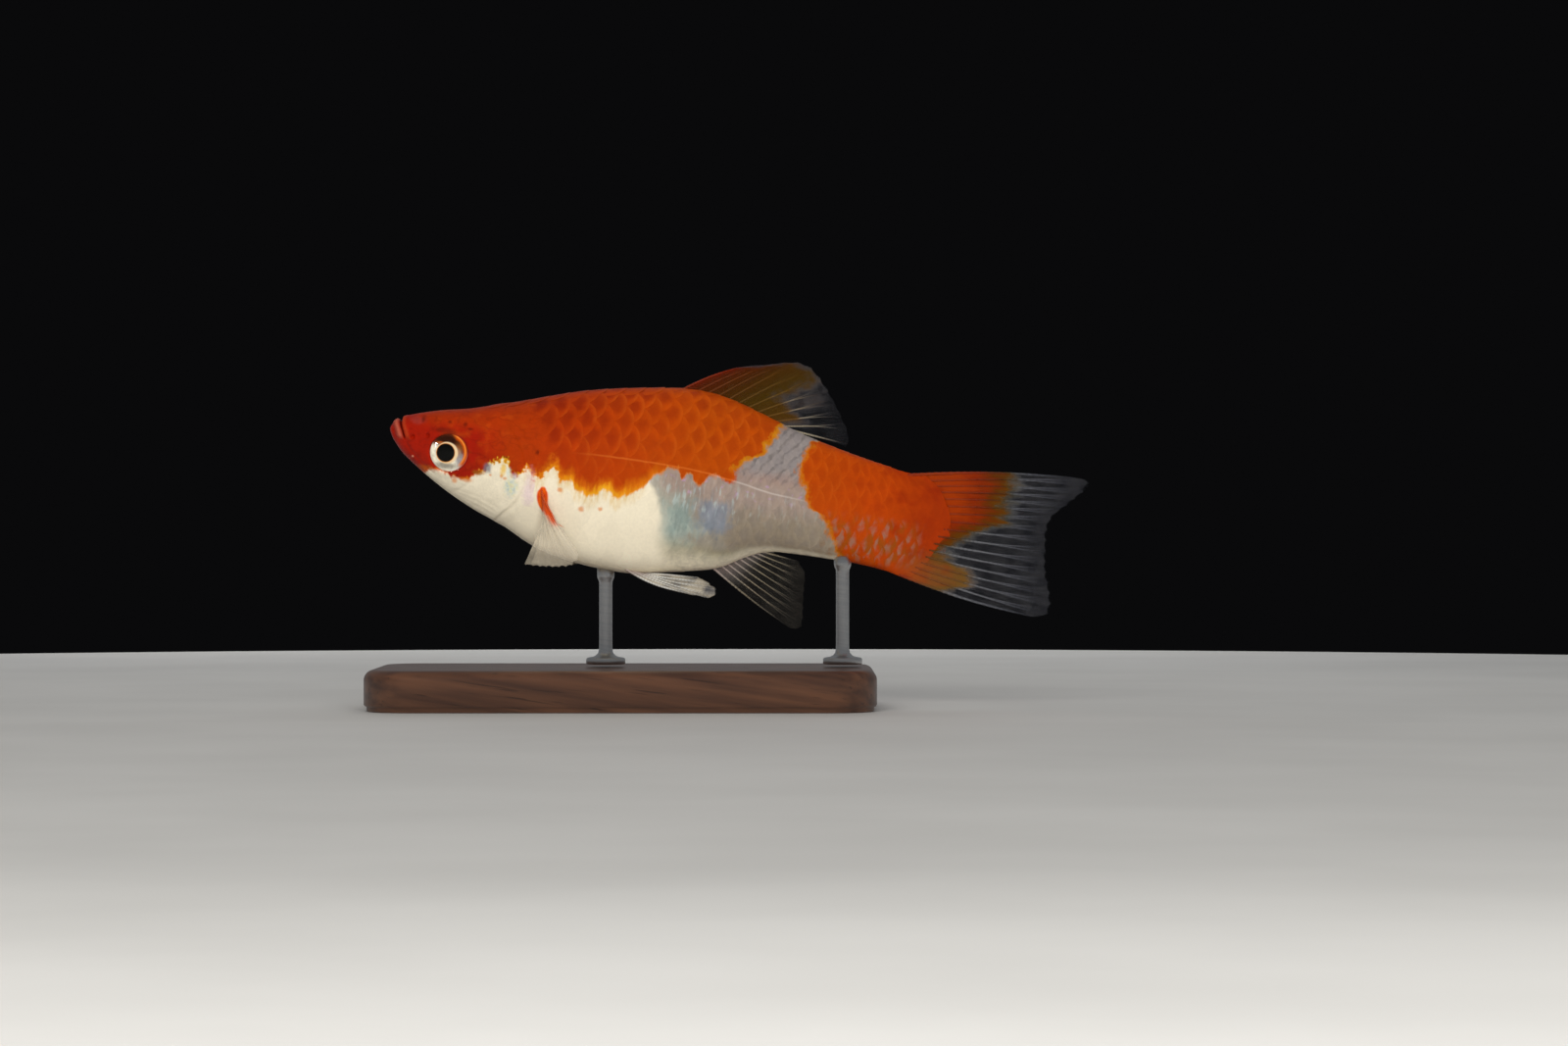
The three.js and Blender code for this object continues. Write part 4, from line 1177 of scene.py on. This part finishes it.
def moist(g, colour, normal):
    """The soft shine of wet skin."""
    return g.finish(
        colour, normal, Roughness=g.noise(0.6, 0.08) + 0.5, Coat_Weight=0.04, Coat_Roughness=0.2,
        Specular_IOR_Level=0.15,
    )


def skin_material():
    g = Shading("skin")
    colour = shoulder_mark(g, head_details(g, markings(g)[0]))
    mottle = g.noise(0.9, 0.14, 3) + g.noise(0.22, 0.12) + 1.0
    return moist(g, g.shade(colour, mottle), g.bump(g.noise(0.16, 0.5, 3) + g.noise(0.5, 0.5), 0.03, 0.5))


def scale_material():
    """Overlapping scales: dark centres in the orange, paler rims, and a faint net on the grey flank."""
    g = Shading("scales")
    colour, orange = markings(g)
    along, across = g.map_value("plate")
    tone = g.value("Attribute", {}, "Fac", attribute_name="tone")
    from_middle = (across - 0.5) / 0.23
    away = distance(from_middle, (along - 0.66) / 0.21) + g.noise(0.9, 0.7) + g.noise(0.35, 0.25)
    blotch = step(away, 1.7, 0.3)
    from_side_line = g.z - curve(g.x, LATERAL_LINE)
    strength = (step(from_side_line, -2.0, 5.0) * 0.5 + 0.1) * (tone * 0.7 + 0.55 + g.noise(2.5, 0.5))
    strength *= curve(g.x, [(8, 1.3), (22, 1.1), (30, 0.72), (40, 0.6), (47, 0.42), (60, 0.4)])
    rim = step(along, 0.84, 0.97) * step(g.x, 12, 20) * step(g.x, 60, 46)
    rim *= step(g.noise(1.6, shift=(8, 8, 2)), -0.3, 0.4)
    grey = (1.0 - orange) * step(g.x, 30, 34)
    low_stalk = band(g.x, 47.5, 57.5, 1.2) * band(g.z, -6.9, -2.6, 0.8)
    ochre = step(g.noise(0.8, stretch=(1, 1, 0.5), shift=(6, 1, 3)), -0.2, 0.4)
    lengthwise = abs(along - 0.62) + g.noise(0.6, 0.3, 3, stretch=(1, 1, 0.5))
    flecks = step(lengthwise, 0.24, 0.04) * step(from_middle, 1.5, 0.6)
    flecks *= step(g.noise(1.5, 1, 3, shift=(4, 4, 4)), -0.3, 0.3)
    side_line = along_line(from_side_line + g.noise(0.8, 0.06), 0.17) * step(g.x, 19, 25) * step(g.x, 47, 42)
    colour = over(
        colour,
        (blotch * orange * strength, DARK_CENTRE),
        (rim * orange * 0.14, (222, 112, 30)),
        (blotch * grey * 0.16, (110, 108, 116)),
        (rim * grey * 0.08, (206, 196, 190)),
        (ochre * low_stalk * 0.6, (132, 78, 14)),
        (flecks * low_stalk * 0.6, (144, 122, 106)),
        (side_line * 0.45, mix(orange, (216, 202, 192), (226, 116, 40))),
    )
    colour = g.shade(shoulder_mark(g, colour), tone * 0.08 + 0.96 + g.noise(0.3, 0.08))
    return moist(g, colour, g.bump(sine(along * 130.0) * 0.3 + g.noise(0.2, 0.7), 0.008, 0.5))


# Fin materials

SMOKE, DARK_SMOKE, DUSK, DARK_DUSK = (110, 110, 115), (68, 69, 77), (108, 102, 92), (70, 65, 58)
MILK, DARK_MILK = (246, 232, 206), (216, 202, 178)


def looks(film, thinning, cover, tints, ray_cover, lighter, near, far):
    """How a fin looks.

    Its film: how much it covers, how much clearer it gets outwards, how much its pigment covers, its two
    tints. Its rays: how much they cover, how much lighter their pigment is, their colours near the body
    and far from it.
    """
    return SimpleNamespace(**locals())


FIN_LOOKS = {
    "dorsal": looks(0.03, 0.0, 0.5, (SMOKE, DARK_SMOKE), 0.42, 1.7, (200, 186, 160), (66, 65, 68)),
    "anal": looks(0.045, 0.0, 0.15, (DUSK, DARK_DUSK), 0.38, 1.2, (172, 158, 134), (78, 74, 68)),
    "tail": looks(0.07, 0.0, 0.84, (SMOKE, DARK_SMOKE), 0.36, 1.0, (140, 140, 144), (92, 94, 104)),
    "pectoral": looks(0.3, 0.5, 0.8, (MILK, DARK_MILK), 0.16, 1.0, (250, 240, 216), (224, 214, 194)),
    "pelvic": looks(0.22, 0.2, 0.3, (MILK, SMOKE), 0.7, 1.0, (236, 234, 226), (200, 198, 192)),
}


def dorsal_pigment(g, u, v, ragged):
    reach = v + ragged * 0.05 + g.noise(1.4, 0.12)
    front = step(u + g.noise(1.2, 0.1), 0.66, 0.5) * step(reach, 1.08, 0.86)
    low = step(reach, 0.58, 0.36) * step(u, 0.92, 0.76)
    rear_patch = band(u, 0.62, 0.72, 0.06) * band(v, 0.45, 0.9, 0.1) * 0.35
    colour = ramp(u + g.noise(1.2, 0.06), 0, 1, [
        (0.0, (112, 28, 2)), (0.12, (90, 34, 2)), (0.3, (80, 42, 2)), (0.5, (78, 54, 4)),
        (0.75, (88, 58, 10)),
    ])
    return colour, most(most(front, low), rear_patch)


def anal_pigment(g, u, v, ragged):
    return ramp(v, 0, 1, [(0.05, (170, 150, 140)), (0.5, (150, 150, 150))]), step(v, 0.4, 0.1)


def tail_pigment(g, u, v, ragged):
    before = curve(g.z, TAIL_PIGMENT_END) - g.x + ragged
    colour = ramp(before + g.noise(0.8, 0.5), -1, 7, [
        (-0.6, (70, 64, 16)), (0.4, (92, 58, 4)), (1.5, (98, 45, 0)), (3.4, (130, 41, 0)),
        (5.5, (160, 53, 0)),
    ])
    colour = mix(tail_mottle(g) * step(before, 1.0, 3.0), olive_lobe(g, colour), CLOUD_RED)
    return colour, step(before, -1.5, 0.9)


def pectoral_pigment(g, u, v, ragged):
    root = step(v + u * 0.16, 0.3, 0.2)
    edge = step(v, 0.62, 0.42) * step(u + v * 0.9 + ragged * 0.06, 0.78, 0.52)
    return (226, 84, 8), most(root, edge)


PIGMENTS = {
    "dorsal": dorsal_pigment, "anal": anal_pigment, "tail": tail_pigment, "pectoral": pectoral_pigment,
    "pelvic": anal_pigment,
}


def fin_shading(kind, ending):
    """A fin's nodes and look, its height from the body, its pigment and how strongly that lies on it."""
    g = Shading(kind + ending)
    u, v = g.map_value("fin")
    ragged = g.noise(0.5, 1.6, stretch=(0.22, 1, 1)) + g.noise(0.4, 0.5)
    return g, FIN_LOOKS[kind], v, *PIGMENTS[kind](g, u, v, ragged)


def membrane_material(kind):
    """A clear film, its pigment laid on as far as it covers."""
    g, look, v, colour, strength = fin_shading(kind, "_membrane")
    colour = mix(strength, mix(step(g.noise(1.4, 1, 3), -0.3, 0.5), *look.tints), colour)
    film = g.noise(0.5, 0.02, 3, stretch=(0.3, 1, 1)) + look.film
    clearer = 1.0 - step(v, 0.5, 0.9) * look.thinning
    alpha = film * clearer + strength * look.cover + step(v, 0.96, 1.0) * 0.02
    normal = g.bump(g.noise(0.25, 1, 3), 0.03, 0.5)
    return g.finish(
        colour, normal, Alpha=least(alpha, 1.0), Roughness=0.4, Coat_Weight=0.05, Coat_Roughness=0.15,
        Specular_IOR_Level=0.15,
    )


def ray_material(kind):
    g, look, v, colour, strength = fin_shading(kind, "_rays")
    bone = mix(step(v, 0.25, 0.95), look.near, look.far)
    joints = step(sine(v * 170.0), 0.1, 0.9) * (0.1 if kind == "pectoral" else 0.5)
    bone = mix(joints, bone, g.shade(bone, 0.4))
    colour = mix(least(strength * 1.1, 0.96), bone, g.shade(colour, look.lighter))
    uneven = g.noise(1.1, 0.5) * step(v, 0.3, 0.6) + 1.0
    alpha = uneven * (1.0 - step(v, 0.68, 0.96) * 0.85) * look.ray_cover + strength * 0.3
    return g.finish(
        colour, g.bump(g.noise(0.2), 0.02, 0.4), Alpha=least(alpha, 0.9), Roughness=0.35, Coat_Weight=0.05,
        Coat_Roughness=0.12, Specular_IOR_Level=0.2,
    )


# Eye materials


def iris_material():
    """Silver below and in front, dark red-brown above with painted shade under the brow, an orange arc
    behind, a gold ring, a black pupil.
    """
    g = Shading("iris")
    dx, dz, px = g.x - EYE_X, g.z - EYE_Z, g.x - PUPIL_X
    from_eye, from_pupil = distance(dx, dz), distance(px, g.z - PUPIL_Z)
    ragged = g.noise(0.5, 0.25, 3) + g.noise(0.15, 0.12)
    top = step(most(dz - 0.3, dx * 0.75 + dz * 0.66 - 0.55) + ragged, 0.1, 0.75)
    colour = mix(step(g.noise(0.35, 1, 3), -0.2, 0.6), (255, 246, 222), (214, 206, 184))
    colour = mix(top, colour, (112, 40, 12))
    colour = spots(g, colour, 0.6, ragged + g.noise(0.25, 0.4, shift=(5, 1, 1)), [
        (6.7, -3.12, 1.15, 0.3, 0.8, (124, 116, 104)),
    ])
    colour = spots(g, colour, 0.6, ragged, [
        (8.1, -2.3, 0.45, 0.75, 0.8, (128, 122, 134)), (7.75, -1.2, 0.5, 0.8, 0.7, (150, 92, 44)),
        # The near-black band at 6.5, -0.4 on the next line is painted shade under the brow
        (6.5, -0.4, 1.5, 0.62, 0.95, (42, 16, 4)), (5.85, -0.78, 0.5, 0.14, 0.7, (196, 104, 40)),
    ])
    behind = step(dx * 0.95 + dz * 0.3 + ragged * 0.5, 0.6, 1.3)
    spread = from_pupil - (px * 0.13 + ragged * 0.08)
    pupil = step(from_pupil, PUPIL_RADIUS + 0.03, PUPIL_RADIUS - 0.02)
    colour = over(
        colour,
        (behind * step(from_eye + ragged * 0.3, 1.5, 1.78), (206, 84, 4)),
        (behind * along_line(from_eye - (dz * 0.06 + 1.8), 0.14) * 0.75, (244, 150, 60)),
        (step(from_eye, 1.93, 2.08), mix(step(dz, -0.6, 0.8), (206, 110, 90), (96, 18, 2))),
        (step(spread, 1.22, 1.1) * 0.9, (246, 216, 170)),
        (step(from_pupil, 1.06, 0.98), (206, 124, 44)),
        (pupil, (5, 5, 4)),
    )
    normal = g.bump(g.noise(0.12) * (1.0 - pupil), 0.02, 0.4)
    return g.finish(colour, normal, Roughness=0.3, Specular_IOR_Level=0.04)


def cornea_material():
    """Clear: it shows only what it reflects, more towards its edge."""
    g = Shading("cornea")
    shine = g.value("BsdfGlossy", {"Color": (1, 1, 1, 1), "Roughness": 0.03})
    clear = g.value("BsdfTransparent", {"Color": (1, 1, 1, 1)})
    share = least(g.value("Fresnel", {"IOR": 1.18}), 0.12)
    g.add("OutputMaterial", {"Surface": g.value("MixShader", {0: share, 1: clear, 2: shine})})
    return g.material


# Stand and floor materials


def wood_material():
    g = Shading("dark_hardwood")
    grain = g.noise(1.1, 1, 5, stretch=(0.06, 1, 1))
    pores = step(g.noise(0.28, stretch=(0.05, 1, 1), shift=(5, 5, 5)), 0.25, 0.45)
    colour = mix(pores * 0.6, mix(step(grain, -0.5, 0.6), (58, 36, 26), (96, 62, 42)), (32, 20, 15))
    return g.finish(
        colour, g.bump(grain * 0.4 - pores, 0.05, 0.5), Roughness=g.noise(3, 0.05) + 0.4, Coat_Weight=0.25,
        Coat_Roughness=0.25,
    )


def steel_material():
    g = Shading("brushed_steel")
    brush = g.noise(0.2, stretch=(0.05, 0.05, 1))
    colour = mix(step(brush, -0.6, 0.6), (184, 186, 188), (200, 200, 200))
    return g.finish(colour, g.bump(brush, 0.002, 0.2), Roughness=brush * 0.05 + 0.36, Metallic=1.0)


def floor_material():
    g = Shading("pale_floor")
    colour = mix(step(g.noise(30, 1, 3), -0.6, 0.6), (206, 204, 200), (214, 212, 208))
    return g.finish(colour, g.bump(g.noise(0.6, 1, 3), 0.02, 0.3), Roughness=0.7, Specular_IOR_Level=0.1)


# The model


def dress(piece, slot, *nodes):
    """The piece rides on the model and stands for the nodes, whose solids are hidden. The slot is not used.
    """
    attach(piece, "root")
    if nodes:
        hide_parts(*nodes)
    return piece


def build_body():
    skin = skin_piece(skin_material())
    dress(skin, "red_skin", "head", "lower_jaw", "gill_cover_left", "gill_cover_right", "trunk", "tail_stalk")
    coat = scale_material()
    dress(scale_piece("scales_left", 1, coat, 11), "red_skin")
    dress(scale_piece("scales_right", -1, coat, 23), "red_skin")
    dress(midline_scale_piece("scales_midline", coat, 37), "red_skin")


def build_fins():
    for kind, fin in FINS.items():
        sides = {"_left": 1, "_right": -1} if kind in ("pectoral", "pelvic") else {"": 1}
        for ending, side in sides.items():
            node = kind + "_fin" + ending
            dress(membrane_piece(node + "_membrane", fin, side, membrane_material(kind)), "fin", node)
            dress(rays_piece(node + "_rays", fin, side, ray_material(kind)), "fin")


def build_eyes():
    iris, cornea = iris_material(), cornea_material()
    corneas = []
    for node, side in (("eye_left", 1), ("eye_right", -1)):
        dress(eye_piece(node + "_iris", side, iris), "eye", node)
        corneas.append(dress(cornea_piece(node + "_cornea", side, cornea), "eye"))
    return corneas


def build_stand():
    dress(base_piece("stand_base_wood", wood_material()), "stand_wood", "stand_base")
    steel = steel_material()
    for node in ("stand_rod_front", "stand_rod_rear"):
        dress(rod_piece(node + "_steel", node, steel), "stand_metal", node)


# The studio


def floor_disc():
    profile = [(0.5, 0), (40, 0), (100, 0), (160, 0), (FLOOR_RADIUS - 2, 0), (FLOOR_RADIUS, -2)]
    rings = turned(0, FLOOR_MIDDLE_Y, 0, FLOOR_SIDES, profile)
    world_mesh("floor", rings, floor_material(), is_open=True)


def area_light(name, place, aim, size, watts, colour=(1, 1, 1), only=None):
    """A soft round lamp, seen in no reflection unless it is there for some pieces only."""
    light = bpy.data.lights.new(name, "AREA")
    light.shape = "DISK"
    light.size = size
    light.energy = watts
    light.color = colour
    lamp = bpy.data.objects.new(name, light)
    lamp.location = place
    lamp.visible_glossy = only is not None
    if only:
        lit = bpy.data.collections.new(name)
        for piece in only:
            lit.objects.link(piece)
        lamp.light_linking.receiver_collection = lit
    lamp.rotation_euler = (Vector(aim) - Vector(place)).to_track_quat("-Z", "Y").to_euler()
    bpy.context.scene.collection.objects.link(lamp)


def surroundings():
    """A soft pale dome for light, and a plain dark backdrop where the camera sees past the floor."""
    world = bpy.data.worlds.new("studio")
    bpy.context.scene.world = world
    g = Nodes(world)
    dome = g.value("Background", {"Color": (0.95, 0.97, 1.0, 1), "Strength": DOME_STRENGTH})
    backdrop = g.value("Background", {"Color": BACKDROP})
    seen = g.value("LightPath", {}, "Is Camera Ray")
    g.add("OutputWorld", {"Surface": g.value("MixShader", {0: seen, 1: dome, 2: backdrop})})


def camera():
    """A level camera on the fish's left side, framed as the photograph is."""
    lens = bpy.data.cameras.new("camera")
    lens.lens = 100
    lens.sensor_width = 36
    lens.clip_start = 0.01
    eye = bpy.data.objects.new("camera", lens)
    eye.location = (SHIFT[0] + PHOTO_MIDDLE_X * MM, -CAMERA_DISTANCE, SHIFT[2] + PHOTO_MIDDLE_Z * MM)
    eye.rotation_euler = (math.pi / 2, 0, 0)
    bpy.context.scene.collection.objects.link(eye)
    bpy.context.scene.camera = eye


def studio(corneas):
    aim = (0, 0, 0.028)
    area_light("key", (-0.15, -0.63, 0.316), aim, 0.45, KEY_WATTS, (1.0, 0.98, 0.94))
    area_light("fill", (0.2, -0.73, 0.12), aim, 0.24, FILL_WATTS)
    area_light("rim", (0.05, 0.26, 0.3), aim, 0.2, RIM_WATTS, (0.94, 0.97, 1.0))
    area_light("far_side", (-0.05, 0.42, 0.1), aim, 0.4, FAR_WATTS)
    area_light("glint", (-0.4, -0.23, 0.145), (-0.031, -0.003, 0.028), 0.12, GLINT_WATTS, only=corneas)
    bpy.context.scene.view_settings.view_transform = "Standard"


build_body()
build_fins()
eye_windows = build_eyes()
build_stand()
floor_disc()
surroundings()
studio(eye_windows)
camera()
